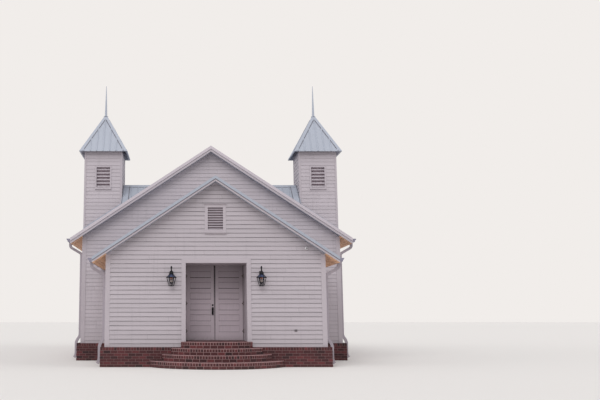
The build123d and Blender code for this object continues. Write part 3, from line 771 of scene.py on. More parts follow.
def door_mouldings(node):
    """Mitred beads round the six panels of one leaf, on both of its faces."""
    leaf_low, leaf_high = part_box(node)
    x0, x1 = leaf_low.x + DOOR_STILE, leaf_high.x - DOOR_STILE
    z0, z1 = PANEL_FOOT, PANEL_FOOT + PANEL_HEIGHT
    faces = []
    for y in (leaf_low.y + 0.0025, leaf_high.y - 0.0125):
        beads = mitred_frame(x0, x1, z0, z1, y, y + 0.01, 0.018, 0.004)
        faces.append(repeat(beads, 6, (0, 0, PANEL_PITCH)))
    return join(faces)


def door_pull():
    """A thumb-grip handle on its plate, with a round lock above."""
    box_low, box_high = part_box("door_handle")
    x, wall_y = (box_low.x + box_high.x) / 2, box_high.y
    foot = box_low.z
    plate = block(x - 0.03, x + 0.03, wall_y - 0.006, wall_y, foot, foot + 0.25)
    with editing(plate, "EDGE"):
        pick_edges(plate, lambda a, b: abs(a.y - b.y) > 0.004)
        bpy.ops.mesh.bevel(offset=0.02, segments=4)
    round_edges(plate, 0.0015)
    grip_y = wall_y - 0.042
    grip = turned([(wide, foot + up) for wide, up in GRIP], 14, (x, grip_y, 0))
    posts = [
        rod((x, grip_y, foot + up), (x, wall_y, foot + up), 0.009, 10) for up in (0.035, 0.205)
    ]
    rose = turned(LOCK_ROSE, 18, (x, wall_y, box_high.z - 0.027), (math.pi / 2, 0, 0))
    return smooth(join([plate, grip, *posts, rose]))


def about_axis(turn, out, height=0.0):
    """A point out from a lantern's upright axis."""
    return Vector((out * math.cos(turn), out * math.sin(turn), height))


def cup_spots():
    """Where the lantern's three cups stand round its axis."""
    return [about_axis(third * CUP_TURN + CUP_START, CUP_REACH) for third in range(3)]


def lantern_iron():
    """The iron of one lantern about its own upright axis, with its arm and back plate."""
    parts = [
        turned(LANTERN_BASE, 6, turn=FLAT_HEX),
        ring(0.135, 0.011, (0, 0, BARS_TOP + 0.002), 6, FLAT_HEX),
        turned(LANTERN_CAP, 14),
        rod((0, 0, 2.58), (0, 0, HOOD_TOP), 0.006),
        rod((0, 0, BARS_FOOT), (0, 0, 2.47), 0.013),
        rod((0, 0, ARM_HEIGHT), (0, 0.15, ARM_HEIGHT), 0.010),
        ring(0.03, 0.005, (0, 0.095, HOOD_TOP + 0.002), 16, (0, math.pi / 2, 0)),
    ]
    for corner in range(6):
        at = partial(about_axis, corner * math.pi / 3)
        bend = at(0.086, 2.682)
        parts.append(rod(at(0.068, BARS_FOOT), at(BARS_RIM, BARS_TOP), 0.009, 6))
        parts.append(rod(at(BARS_RIM, BARS_TOP + 0.007), bend, 0.008, 6))
        parts.append(rod(bend, at(0.048, HOOD_TOP), 0.008, 6))
        parts.append(ball(0.019, at(BARS_RIM, BARS_TOP + 0.003), 6))
    for cup in cup_spots():
        parts.append(rod((0, 0, 2.42), cup + Vector((0, 0, 2.468)), 0.010, 6))
        parts.append(turned(LANTERN_CUP, 10, cup))
    plate = block(-0.05, 0.05, 0.145, 0.172, 2.583, 2.823)
    with editing(plate):
        pick_faces(plate, lambda c, n: n.y < -0.5)
        bpy.ops.mesh.inset(thickness=0.012)
        extrude((0, -0.005, 0))
    parts.append(round_edges(plate, 0.003))
    for z in (2.61, 2.796):
        screw = turned([(0.007, 0), (0.007, 0.003), (0.003, 0.005)], 10)
        parts.append(set_down(screw, (0, 0.1405, z), (math.pi / 2, 0, 0)))
    return smooth(join(parts))


def glass_shell(rings, thickness=0.003):
    """Six panes that follow the bars, open above and below."""
    obj = turned(rings, 6, turn=FLAT_HEX)
    with editing(obj):
        pick_faces(obj, lambda c, n: abs(n.z) > 0.99)
        bpy.ops.mesh.delete(type="ONLY_FACE")
    return modify(obj, "SOLIDIFY", thickness=thickness, offset=-1)


def lantern_candles():
    """Three sleeves that stand in the lantern's cups, each with its wick."""
    return smooth(join([turned(CANDLE, 10, cup) for cup in cup_spots()]))


def lantern_socket():
    """The copper cup under the middle of the lantern's hood."""
    return smooth(turned(SOCKET_CUP, 16))


def both_lanterns(piece):
    """Sets a lantern's piece on both sides of the entrance."""
    box_low, box_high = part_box("lanterns")
    y = box_low.y + LANTERN_RIM * math.sin(math.pi / 3)
    right = copy_of(piece, (box_high.x - LANTERN_RIM, y, 0))
    set_down(piece, (box_low.x + LANTERN_RIM, y, 0))
    return join([piece, right])


def louver_opening(node):
    """The edges of a louver's opening: left, right, foot and head."""
    box_low, box_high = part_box(node)
    border = LOUVER_FRAMES[node]
    if node == "porch_louver":
        left, right = box_low.x, box_high.x
    else:
        left, right = 2 * TOWER_MID.x - box_high.x, box_high.x
    return left + border, right - border, box_low.z + border, box_high.z - border


def louver_screen(node):
    """A fly screen in its frame behind a louver's slats."""
    left, right, foot, head = louver_opening(node)
    y = high(node).y + 0.003
    left, right, foot, head = left - 0.004, right + 0.004, foot - 0.004, head + 0.004
    panel = block(left, right, y, y + 0.004, foot, head)
    with editing(panel):
        pick_faces(panel, lambda c, n: n.y < -0.5)
        bpy.ops.mesh.inset(thickness=0.02)
        extrude((0, 0.002, 0))
    rim = mitred_frame(left, right, foot, head, y - 0.003, y, 0.016)
    screen = join([panel, rim])
    return screen if node == "porch_louver" else both_sides(screen)


def louver_caps(node, overhang):
    """A drip cap over a louver's frame and a sill under it."""
    box_low, box_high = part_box(node)
    x0, x1 = box_low.x - overhang, box_high.x + overhang
    parts = []
    for z, rise in ((box_high.z, 0.022), (box_low.z - 0.024, 0.024)):
        cap = block(x0, x1, box_low.y - 0.008, box_low.y + 0.044, z, z + rise)
        with editing(cap, "VERT"):
            pick_points(cap, lambda p: p.y < box_low.y and p.z > z + rise / 2)
            bpy.ops.transform.translate(value=(0, 0, -0.008))
        parts.append(round_edges(cap, 0.003))
    return join(parts)


def camera_lens():
    """The dark eye and sunshade of the small camera under the right slope."""
    box_low, box_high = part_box("wall_camera")
    x, z = (box_low.x + box_high.x) / 2, (box_low.z + box_high.z) / 2
    return smooth(turned(LENS, 20, (x, box_low.y + 0.012, z), (math.pi / 2, 0, 0)))


def gutter_straps():
    """Folded straps that hold the gutters at the eaves."""
    runs = (
        (PORCH_REACH, PORCH_RIDGE, low("porch_roof_right").y + 0.05, MAIN_FRONT, 3),
        (MAIN_REACH, MAIN_RIDGE, low("main_roof_right").y + 0.05, high("main_roof_right").y, 14),
    )
    parts = []
    for reach, ridge, y0, y1, count in runs:
        top = slope_at(ridge, reach) - 0.02
        over = block(reach - 0.004, reach + STRAP_REACH, y0, y0 + 0.03, top - 0.001, top + 0.002)
        with editing(over):
            pick_faces(over, lambda c, n: n.x > 0.5)
            extrude((0.003, 0, 0))
            bpy.ops.mesh.select_all(action="DESELECT")
            pick_faces(over, lambda c, n: n.z < -0.5 and c.x > reach + STRAP_REACH)
            extrude((0, 0, -0.028))
        parts.append(repeat(over, count, (0, (y1 - y0 - 0.12) / (count - 1), 0)))
    straps = join(parts)
    return both_sides(straps)


def spout_bands():
    """Collars that hold the downspouts to the walls."""
    spout_low, spout_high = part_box("downspouts")
    places = (
        (PORCH_HALF, spout_low.y + 0.0375, (1.05, 2.35)),
        (MAIN_HALF, spout_high.y - 0.0375, (1.05, 2.2, 3.25)),
    )
    parts = []
    for half, y, levels in places:
        for z in levels:
            band = block(half + 0.0125, half + 0.112, y - 0.0415, y + 0.0415, z, z + 0.032)
            with editing(band):
                pick_faces(band, lambda c, n: n.z > 0.5 or n.z < -0.5)
                bpy.ops.mesh.inset(thickness=0.0025)
            parts.append(round_edges(band, 0.002))
    bands = join(parts)
    return both_sides(bands)


# Metal roofs


def rib(sizes, length):
    """One roof rib that runs along +X from the origin and stands up."""
    half = sizes.rib_width / 2
    obj = block(0, length, -half, half, 0, sizes.rib_height)
    share = sizes.rib_top / sizes.rib_width
    with editing(obj):
        pick_faces(obj, lambda c, n: n.z > 0.5)
        bpy.ops.transform.resize(value=(1, share, 1), center_override=(0, 0, 0))
    return obj


def slope_ribs(sizes, ridge, reach, y0, y1):
    """Ribs down the right slope of a roof that runs along Y."""
    length = math.hypot(reach, SLOPE * reach) - 0.012
    count = round((y1 - y0) / sizes.pitch)
    step = (y1 - y0) / count
    obj = rib(sizes, length - 0.10)
    set_down(obj, (0.10, 0, 0))
    set_down(obj, (0, y0 + step / 2, ridge), (0, math.atan(SLOPE), 0))
    return repeat(obj, count, (0, step, 0))


def on_tower_roofs(face):
    """Repeats what lies on one face of a tower's roof on all faces of both."""
    faces = [face] + [copy_of(face, turn=(0, 0, math.pi / 2 * k)) for k in (1, 2, 3)]
    return both_sides(set_down(join(faces), (TOWER_MID.x, TOWER_MID.y, 0)))


def tower_ribs(sizes):
    """Ribs up the four faces of both tower roofs, cut off along the hips."""
    half = TOWER_EAVE_HALF
    fall = math.atan((TOWER_APEX - TOWER_EAVE) / half)
    side = rib(sizes, half / math.cos(fall) - 0.004)
    set_down(side, (0, -3 * sizes.pitch, TOWER_APEX), (0, fall, 0))
    repeat(side, 7, (0, sizes.pitch, 0))
    for across in (1, -1):
        trim(side, (HIP_CAP, 0, 0), (-1, across, 0))
    return on_tower_roofs(side)


def saddle_ribs(sizes):
    """Ribs on the small roofs that lead from the towers to the main roof."""
    fall = math.atan(SADDLE_SLOPE)
    front = low("saddle_roofs").y
    start = TOWER_IN - 0.25
    parts = []
    for facing in (-1, 1):
        run = TOWER_MID.y - front if facing < 0 else high("saddle_roofs").y - TOWER_MID.y
        obj = rib(sizes, run / math.cos(fall) - 0.12)
        set_down(obj, (0.12, 0, 0))
        set_down(obj, (0, 0, 0), (0, fall, 0))
        set_down(obj, (start - 0.08, TOWER_MID.y, SADDLE_RIDGE), (0, 0, facing * math.pi / 2))
        repeat(obj, 6, (-sizes.pitch, 0, 0))
        trim(obj, (0, 0, MAIN_RIDGE + 0.012), ROOF_DOWN)
        parts.append(obj)
    saddle = join(parts)
    trim(saddle, (0, front + 0.004, 0), (0, -1, 0))
    return both_sides(saddle)


def tower_flashings():
    """Metal upstands round the feet of the towers, cut to the roof's slope."""
    thick, out, rise, spread = 0.004, 0.018, 0.13, 0.09
    x0, x1 = TOWER_IN - out, MAIN_HALF + out
    y0, y1 = TOWER_FRONT - out, TOWER_BACK + out
    walls = [
        block(x0, x1, y0, y0 + thick, *ABOUT_TOWERS),
        block(x0, x1, y1 - thick, y1, *ABOUT_TOWERS),
        block(x0, x0 + thick, y0, y1, *ABOUT_TOWERS),
        block(x1 - thick, x1, y0, y1, *ABOUT_TOWERS),
    ]
    for side in walls:
        trim(side, (0, 0, MAIN_RIDGE), ROOF_DOWN)
        trim(side, (0, 0, MAIN_RIDGE + rise), -ROOF_DOWN)
        round_edges(side, 0.001)
    pan = block(x0 - spread, MAIN_REACH, y0 - spread, y1 + spread, *ABOUT_TOWERS)
    trim(pan, (0, 0, MAIN_RIDGE), ROOF_DOWN)
    trim(pan, (0, 0, MAIN_RIDGE + thick), -ROOF_DOWN)
    cut_hole(pan, block(x0, x1, y0, y1, *ABOUT_TOWERS))
    return both_sides(join([*walls, pan]))


def hip_closures():
    """Dark foam closures along the inner edges of the tower roofs' hip caps, which also stand for
    the shade under the caps: painted shade.
    """
    half, cap, lift = TOWER_EAVE_HALF, HIP_CAP, 0.014
    fall = (TOWER_APEX - TOWER_EAVE) / half
    foot = (half - cap, -half + 0.004, TOWER_EAVE + lift)
    head = (0.01, -cap, TOWER_APEX - fall * cap + lift)
    return on_tower_roofs(both_sides(rod(foot, head, 0.011, 6)))


def saddle_closures():
    """Dark closures beside the flashings of the saddle roofs, which also stand for the shade in
    the gaps there: painted shade.
    """
    y, front, lift = TOWER_MID.y, low("saddle_roofs").y, 0.012

    def on_slope(x, back, above_sheet):
        return (x, y - back, SADDLE_RIDGE - SADDLE_SLOPE * back + above_sheet)

    inner, outer, wall_line = TOWER_IN - SADDLE_FLASHING, TOWER_IN - 1.6, TOWER_IN - 0.03
    parts = [
        rod(on_slope(inner, 0.1, lift), on_slope(inner, y - front, lift), 0.010, 6),
        rod(on_slope(outer, SADDLE_CAP, 0), on_slope(TOWER_IN, SADDLE_CAP, 0), 0.009, 6),
        rod(on_slope(wall_line, 0, lift), on_slope(wall_line, y - front, lift), 0.009, 6),
    ]
    closures = trim(join(parts), (0, 0, MAIN_RIDGE), ROOF_DOWN)
    return both_sides(closures)


def rake_shade_closure(ridge, reach, y, leg, thickness):
    """A dark strip in the gap under a roof edge's folded metal, on both slopes of a gable,
    standing for the shade there: painted shade.
    """
    length = math.hypot(reach, SLOPE * reach) - 0.01
    strip = block(0, length, y - 0.006, y + 0.006, -thickness, 0)
    set_down(strip, (0, 0, ridge - leg), (0, math.atan(SLOPE), 0))
    trim(strip, (0, 0, 0), (-1, 0, 0))
    return both_sides(strip)


def rake_closures():
    """Dark strips of painted shade under the edge metal of the porch's gable and both main gables.
    """
    out = 0.032
    gables = (
        (PORCH_RIDGE, PORCH_REACH, low("porch_roof_right").y - out, 0.0853, 0.014),
        (MAIN_RIDGE, MAIN_REACH, low("main_roof_right").y - out, 0.1076, 0.005),
        (MAIN_RIDGE, MAIN_REACH, high("main_roof_right").y + out, 0.1076, 0.005),
    )
    return join([rake_shade_closure(*gable) for gable in gables])


def soffit(reach, half, under, y0, y1):
    """Grooved boards under the right eave."""
    width = (reach - half) / math.cos(math.atan(SLOPE))
    boards = 5
    step = width / boards
    obj = block(0, step - 0.003, y0, y1, -0.012, 0)
    round_edges(obj, 0.003)
    repeat(obj, boards, (step, 0, 0))
    place = (half + 0.004, 0, slope_at(under, half))
    return set_down(obj, place, (0, math.atan(SLOPE), 0))


# Shader tools


class Field:
    """A number that varies over a surface; sums on it add Math nodes."""

    def __init__(self, shader, socket):
        self.shader = shader
        self.socket = socket

    def math(self, operation, *values):
        return self.shader.math(operation, self, *values)

    def __add__(self, other):
        return self.math("ADD", other)

    def __radd__(self, other):
        return self.math("ADD", other)

    def __sub__(self, other):
        return self.math("SUBTRACT", other)

    def __rsub__(self, other):
        return self.shader.math("SUBTRACT", other, self)

    def __mul__(self, other):
        return self.math("MULTIPLY", other)

    def __rmul__(self, other):
        return self.math("MULTIPLY", other)

    def __truediv__(self, other):
        return self.math("DIVIDE", other)

    def __lt__(self, other):
        return self.math("LESS_THAN", other)

    def __gt__(self, other):
        return self.math("GREATER_THAN", other)

    def floor(self):
        return self.math("FLOOR")

    def fraction(self):
        return self.math("FRACT")

    def limited(self):
        """Held between 0 and 1."""
        return self.math("MAXIMUM", 0.0).math("MINIMUM", 1.0)


class NodeTree:
    """The nodes of a material or of the world."""

    def __init__(self, owner):
        owner.use_nodes = True
        self.owner = owner
        self.tree = owner.node_tree
        self.tree.nodes.clear()

    def node(self, kind, settings=None, sockets=None):
        """Any node: its settings first, then the values or links of its sockets."""
        made = self.tree.nodes.new(kind)
        for key, value in (settings or {}).items():
            if key == "stops":
                self.set_stops(made.color_ramp, value)
            else:
                setattr(made, key, value)
        for key, value in (sockets or {}).items():
            self.feed(made.inputs[key], value)
        return made

    def feed(self, socket, value):
        """Links a socket or sets its value."""
        if isinstance(value, Field):
            value = value.socket
        if isinstance(value, bpy.types.NodeSocket):
            self.tree.links.new(value, socket)
        else:
            socket.default_value = value

    def set_stops(self, ramp, stops):
        """Puts a ramp's stops in place."""
        while len(ramp.elements) < len(stops):
            ramp.elements.new(0.5)
        for element, (position, colour) in zip(ramp.elements, stops):
            element.position = position
            element.color = (*colour, 1) if len(colour) == 3 else colour

    def math(self, operation, *values):
        made = self.node("ShaderNodeMath", {"operation": operation}, dict(enumerate(values)))
        return Field(self, made.outputs[0])


class Shader(NodeTree):
    """The node tree of one material."""

    def __init__(self, name):
        super().__init__(bpy.data.materials.new(name))
        self.here = self.node("ShaderNodeTexCoord").outputs["Object"]
        parts = self.node("ShaderNodeSeparateXYZ", {}, {"Vector": self.here})
        self.x, self.y, self.z = (Field(self, output) for output in parts.outputs)

    def noise(self, scale, detail=3.0, roughness=0.55, vector=None):
        """Cloudy noise from 0 to 1."""
        vector = vector or self.here
        sockets = {"Vector": vector, "Scale": scale, "Detail": detail, "Roughness": roughness}
        return Field(self, self.node("ShaderNodeTexNoise", {}, sockets).outputs[0])

    def grain(self, scale, detail=3.0, roughness=0.6):
        """Noise stretched along an axis, as grain or run marks."""
        made = self.node("ShaderNodeMapping", {}, {"Vector": self.here, "Scale": scale})
        return self.noise(1.0, detail, roughness, made.outputs["Vector"])

    def chance(self, x, y=0.0):
        """A steady random number for each whole cell."""
        cell = self.node("ShaderNodeCombineXYZ", {}, {0: x, 1: y})
        made = self.node(
            "ShaderNodeTexWhiteNoise", {"noise_dimensions": "2D"}, {"Vector": cell.outputs[0]}
        )
        return Field(self, made.outputs["Value"])

    def island(self):
        """A random number for each separate brick of a mesh."""
        return Field(self, self.node("ShaderNodeNewGeometry").outputs["Random Per Island"])

    def blend(self, factor, first, second, mode="MIX"):
        """Two colours mixed by a factor."""
        made = self.node("ShaderNodeMix", {"data_type": "RGBA", "blend_type": mode})
        self.feed(made.inputs[0], factor)
        self.feed(made.inputs[6], self.opaque(first))
        self.feed(made.inputs[7], self.opaque(second))
        return made.outputs[2]

    def opaque(self, colour):
        """A colour of three numbers gets its fourth."""
        if isinstance(colour, bpy.types.NodeSocket):
            return colour
        return (*tuple(colour)[:3], 1.0)

    def ramp(self, factor, stops):
        """A colour ramp."""
        made = self.node("ShaderNodeValToRGB", {"stops": stops}, {"Fac": factor})
        return made.outputs["Color"]

    def relief(self, height, distance, strength=1.0):
        """Small relief as a normal."""
        made = self.node(
            "ShaderNodeBump", {}, {"Height": height, "Distance": distance, "Strength": strength}
        )
        return made.outputs["Normal"]

    def surface(self, colour, roughness=0.5, normal=None, **constants):
        """Ends the material with a Principled shader."""
        sockets = {"Base Color": self.opaque(colour), "Roughness": roughness}
        if normal is not None:
            sockets["Normal"] = normal
        sockets.update({key.replace("_", " "): value for key, value in constants.items()})
        skin = self.node("ShaderNodeBsdfPrincipled", {}, sockets)
        self.node("ShaderNodeOutputMaterial", {}, {"Surface": skin.outputs[0]})
        return self.owner


def shade(colour, share):
    """A colour made darker or lighter by a share."""
    return tuple(min(1.0, value * share) for value in colour)


# Finishes


def painted_ceiling_shade(s):
    """Painted shade on the doors, darker towards the recess's ceiling."""
    return ((s.z - 1.75) * 0.75).limited() * 0.5 + ((s.z - 2.4) * 1.2).limited() * 0.2


def painted_siding(name, sizes, line, colour, lap_shade_strength):
    """Old paint on lapped boards: each board a little different, with painted shade in patches at
    each board's foot and under the lap above.
    """
    s = Shader(name)
    along = s.x + s.y
    rows = (s.z - line) / sizes.exposure + 60.0
    row = rows.floor()
    within = rows.fraction()
    place = (along + s.chance(row) * 2.4 + 40.0) / sizes.board
    tone = s.chance(row, place.floor())
    joint = place.fraction() < 0.0009
    grain = s.grain((3.0, 3.0, 90.0), 4.0)
    cloud = s.noise(1.4, 3.0)
    streak = s.grain((9.0, 9.0, 0.5))
    dusty = s.blend(tone * 0.5 + cloud * 0.3, shade(colour, 1.05), shade(colour, 0.90))
    grey = s.blend((streak - 0.56).limited() * 1.6, dusty, shade(colour, 0.72))
    patchy = s.grain((0.7, 0.7, 8.0))
    # Painted shade: dark bands at each board's foot and just under the lap above, in patches.
    lap_shade_band = (within < 0.065) + (within > 0.955) * 0.6
    lap_shade = lap_shade_band * lap_shade_strength * ((patchy - 0.25) * 3.0).limited()
    laps = s.blend(lap_shade.limited(), grey, shade(colour, 0.16))
    splash = ((0.95 - s.z) * 0.9).limited() * s.noise(5.0, 4.0)
    stained = s.blend(splash * 0.35, laps, screen_colour(132, 112, 104))
    final = s.blend(joint * 0.7, stained, screen_colour(70, 62, 64))
    height = grain * 0.6 + s.noise(40.0, 2.0) * 0.25 - joint * 2.0
    return s.surface(final, grain * 0.2 + 0.45, s.relief(height, 0.0012, 0.6))


def painted_trim(name, colour, age=0.5):
    """Paint on planed boards."""
    s = Shader(name)
    cloud = s.noise(2.3, 4.0)
    fine = s.noise(38.0, 3.0)
    streak = s.grain((14.0, 14.0, 0.8))
    worn = s.blend(cloud * age, shade(colour, 1.05), shade(colour, 0.88))
    final = s.blend((streak - 0.58).limited() * 2.0 * age, worn, shade(colour, 0.68))
    return s.surface(final, fine * 0.2 + 0.42, s.relief(fine + cloud * 0.4, 0.0008, 0.5))


def door_paint(name, colour):
    """Door paint with painted shade under the recess's ceiling, where the leaves meet and beside
    the right door's outer edge.
    """
    s = Shader(name)
    cloud = s.noise(2.3, 4.0)
    fine = s.noise(38.0, 3.0)
    grain = s.grain((40.0, 40.0, 2.0), 4.0)
    worn = s.blend(cloud * 0.7, shade(colour, 1.05), shade(colour, 0.88))
    lined = s.blend((grain - 0.5).limited() * 1.2, worn, shade(colour, 0.72))
    # Painted shade: the paint darkens towards the recess's ceiling.
    dark = s.blend(painted_ceiling_shade(s), lined, shade(colour, 0.30))
    # Painted shade in the gap where the leaves meet, stronger higher up, and in the gap beside the
    # right door's outer edge.
    middle = (s.x - 0.015).math("ABSOLUTE") < 0.024
    seam_shade = middle * ((s.z - 0.75) * 0.36 + 0.2).limited()
    jamb_shade = (s.x - 0.9095).math("ABSOLUTE") < 0.014
    hand = (1 - ((s.x + 0.06).math("ABSOLUTE") * 6.0 + (s.z - 1.64).math("ABSOLUTE") * 2.5))
    rubbed = s.blend(hand.limited() * cloud * 0.5, dark, shade(colour, 0.5))
    gap_shaded = s.blend((seam_shade + jamb_shade * 0.5).limited(), rubbed, screen_colour(30, 22, 24))
    foot = ((0.9 - s.z) * 6.0).limited() * s.noise(16.0, 4.0)
    final = s.blend(foot * 0.6, gap_shaded, screen_colour(96, 80, 74))
    return s.surface(final, fine * 0.2 + 0.4, s.relief(fine + grain * 0.6, 0.0008, 0.5))


def bead_paint(name, colour):
    """Door paint on the panel beads, with painted shade along their lower and upper bars, stronger
    higher up.
    """
    s = Shader(name)
    fine = s.noise(38.0, 3.0)
    rows = ((s.z - PANEL_FOOT) / PANEL_PITCH + 20.0).fraction()
    share = PANEL_HEIGHT / PANEL_PITCH
    # Painted shade: dark lines along the beads' lower bars and fainter ones along their upper
    # bars, stronger higher up.
    high_up = ((s.z - 0.9) * 0.55).limited()
    lower = (rows < 0.07) * (high_up * 0.65 + 0.22)
    upper = (rows > share - 0.07) * (high_up * 0.15 + 0.14)
    # Painted shade: the beads darken towards the recess's ceiling.
    base = s.blend(painted_ceiling_shade(s), shade(colour, 0.96), shade(colour, 0.30))
    final = s.blend((lower + upper + fine * 0.1).limited(), base, screen_colour(48, 36, 38))
    return s.surface(final, fine * 0.2 + 0.42, s.relief(fine, 0.0008, 0.5))


def slat_paint(name, colour, node):
    """Clean paint on a louver's frame, and the same paint made lighter and more mottled on its
    slats, as painted light.
    """
    s = Shader(name)
    left, right, foot, head = louver_opening(node)
    cloud = s.noise(5.0, 4.0)
    fine = s.noise(42.0, 3.0)
    across = (s.x.math("ABSOLUTE") - abs(left + right) / 2).math("ABSOLUTE")
    inside = (across < (right - left) / 2) * (s.z > foot) * (s.z < head)
    frame_paint = s.blend(cloud * 0.5, shade(colour, 1.04), shade(colour, 0.9))
    # Painted light: the slats get the frame's paint lightened, against the shade between them.
    slats = s.blend(cloud, shade(colour, 1.2), shade(colour, 0.9))
    final = s.blend(inside, frame_paint, slats)
    return s.surface(final, fine * 0.2 + 0.45, s.relief(fine + cloud * 0.4, 0.001, 0.5))


def edge_metal(name, roof, trim):
    """Folded edge metal: bluish on the porch, painted like the trim on the main roof."""
    s = Shader(name)
    wave = s.noise(0.9, 2.0)
    spots = s.noise(26.0, 3.0, 0.65)
    above_main = (s.z + s.x.math("ABSOLUTE") * SLOPE) > MAIN_RIDGE - 0.4
    edges = (s.y < MAIN_FRONT - 0.185) + (s.y > MAIN_BACK + 0.185)
    painted = (above_main * edges).limited()
    colour = s.blend(painted, roof, shade(trim, 1.3))
    dull = s.blend(wave * 0.2, colour, shade(roof, 0.5))
    final = s.blend((spots - 0.64).limited() * 2.0, dull, shade(roof, 0.6))
    return s.surface(final, spots * 0.2 + 0.36, s.relief(wave * 2.0, 0.004, 0.3), Metallic=0.15)


def coated_metal(name, colour, metallic=0.12, roughness=0.5):
    """Coated sheet metal with faint waves, run marks and dull spots."""
    s = Shader(name)
    wave = s.noise(0.9, 2.0)
    spots = s.noise(26.0, 3.0, 0.65)
    runs = s.grain((16.0, 16.0, 0.7))
    base = s.blend(wave * 0.7, shade(colour, 1.06), shade(colour, 0.88))
    marked = s.blend((runs - 0.55).limited() * 1.5, base, shade(colour, 0.66))
    final = s.blend((spots - 0.64).limited() * 2.2, marked, shade(colour, 0.74))
    rough = roughness + spots * 0.22 - 0.05
    normal = s.relief(wave * 2.0 + spots * 0.05, 0.004, 0.35)
    return s.surface(final, rough, normal, Metallic=metallic)


def fired_brick(name, dark, light, rise=None):
    """Bricks, each with its own burn, with sandy faces; on steps the treads are worn pale in
    patches, with a painted highlight along the nosings.
    """
    s = Shader(name)
    own = s.island()
    patch = s.noise(17.0, 4.0, 0.6)
    sand = s.noise(190.0, 3.0, 0.7)
    middle = tuple((a + b) / 2 for a, b in zip(dark, light))
    face = s.ramp(own, [(0.0, dark), (0.3, shade(middle, 0.8)), (0.75, middle), (1.0, light)])
    burnt = s.blend((patch - 0.42).limited() * 1.5, face, shade(dark, 0.72))
    sooty = s.blend((sand - 0.5).limited() * 1.1, burnt, shade(light, 1.1))
    low_dirt = ((0.12 - s.z) * 5.0).limited() * patch
    final = s.blend(low_dirt * 0.5, sooty, screen_colour(84, 68, 58))
    if rise:
        tread = ((s.z + 0.012) / rise).fraction() < 0.075
        across, back = s.x - STEP_CENTRE[0], s.y - STEP_CENTRE[1]
        reach = (across * across + back * back).math("SQRT")
        # A painted highlight along each step's nosing, on top of the treads' patchy wear.
        nosing_highlight = sum((reach - radius + 0.02).math("ABSOLUTE") < 0.032 for radius in STEP_RADII)
        worn = tread * (patch * 0.35 + own * 0.2 + nosing_highlight.limited() * 0.5)
        final = s.blend(worn.limited(), final, screen_colour(176, 142, 142))
    return s.surface(final, sand * 0.15 + 0.78, s.relief(sand + patch * 1.5, 0.0016, 0.8))


def lime_mortar(name, colour):
    """Sandy mortar."""
    s = Shader(name)
    sand = s.noise(150.0, 4.0, 0.7)
    cloud = s.noise(3.0, 4.0)
    base = s.blend(cloud, shade(colour, 1.12), shade(colour, 0.7))
    final = s.blend((sand - 0.4).limited(), base, shade(colour, 0.6))
    return s.surface(final, 0.92, s.relief(sand, 0.002, 0.8))


def stained_boards(name, colour):
    """Stained wood with its grain along Y."""
    s = Shader(name)
    grain = s.grain((60.0, 2.0, 60.0), 5.0, 0.65)
    own = s.island()
    base = s.blend(own * 0.7, shade(colour, 1.12), shade(colour, 0.8))
    final = s.blend((grain - 0.4).limited() * 1.3, base, shade(colour, 0.55))
    return s.surface(final, 0.55, s.relief(grain, 0.0012, 0.5))


def floor_boards(name):
    """Old pine floor boards, 83 mm wide, along Y."""
    s = Shader(name)
    strip = s.x / 0.083
    own = s.chance(strip.floor())
    gap = strip.fraction() < 0.03
    grain = s.grain((70.0, 2.5, 20.0), 5.0)
    brown = s.blend(own, screen_colour(150, 112, 78), screen_colour(112, 80, 54))
    lined = s.blend((grain - 0.45).limited() * 1.4, brown, screen_colour(70, 46, 30))
    final = s.blend(gap, lined, screen_colour(30, 22, 18))
    return s.surface(final, 0.5, s.relief(grain - gap * 3.0, 0.0015, 0.6))


def dark_iron(name, colour, metallic=0.1, roughness=0.5):
    """Black painted iron with a soft sheen and dusty patches."""
    s = Shader(name)
    cloud = s.noise(24.0, 4.0)
    pits = s.noise(160.0, 3.0)
    final = s.blend((cloud - 0.45).limited() * 0.8, colour, shade(colour, 2.0))
    normal = s.relief(pits, 0.0006, 0.5)
    dull = cloud * 0.2 + roughness - 0.1
    return s.surface(final, dull, normal, Metallic=metallic, Specular_IOR_Level=0.2)


def pane_glass(name, colour, cover):
    """Thin panes with a faint smear; cover tells how much of what is behind they hide."""
    s = Shader(name)
    smear = s.noise(30.0, 3.0)
    final = s.blend(smear * 0.6, colour, shade(colour, 0.8))
    return s.surface(final, smear * 0.1 + 0.05, Alpha=smear * 0.04 + cover - 0.02, IOR=1.3)


def moulded_plastic(name, colour):
    """Matt moulded plastic with a fine skin."""
    s = Shader(name)
    fine = s.noise(260.0, 2.0)
    cloud = s.noise(14.0, 2.0)
    final = s.blend(cloud * 0.5, shade(colour, 1.05), shade(colour, 0.88))
    return s.surface(final, fine * 0.1 + 0.35, s.relief(fine, 0.0004, 0.3))


FINISHES = {}


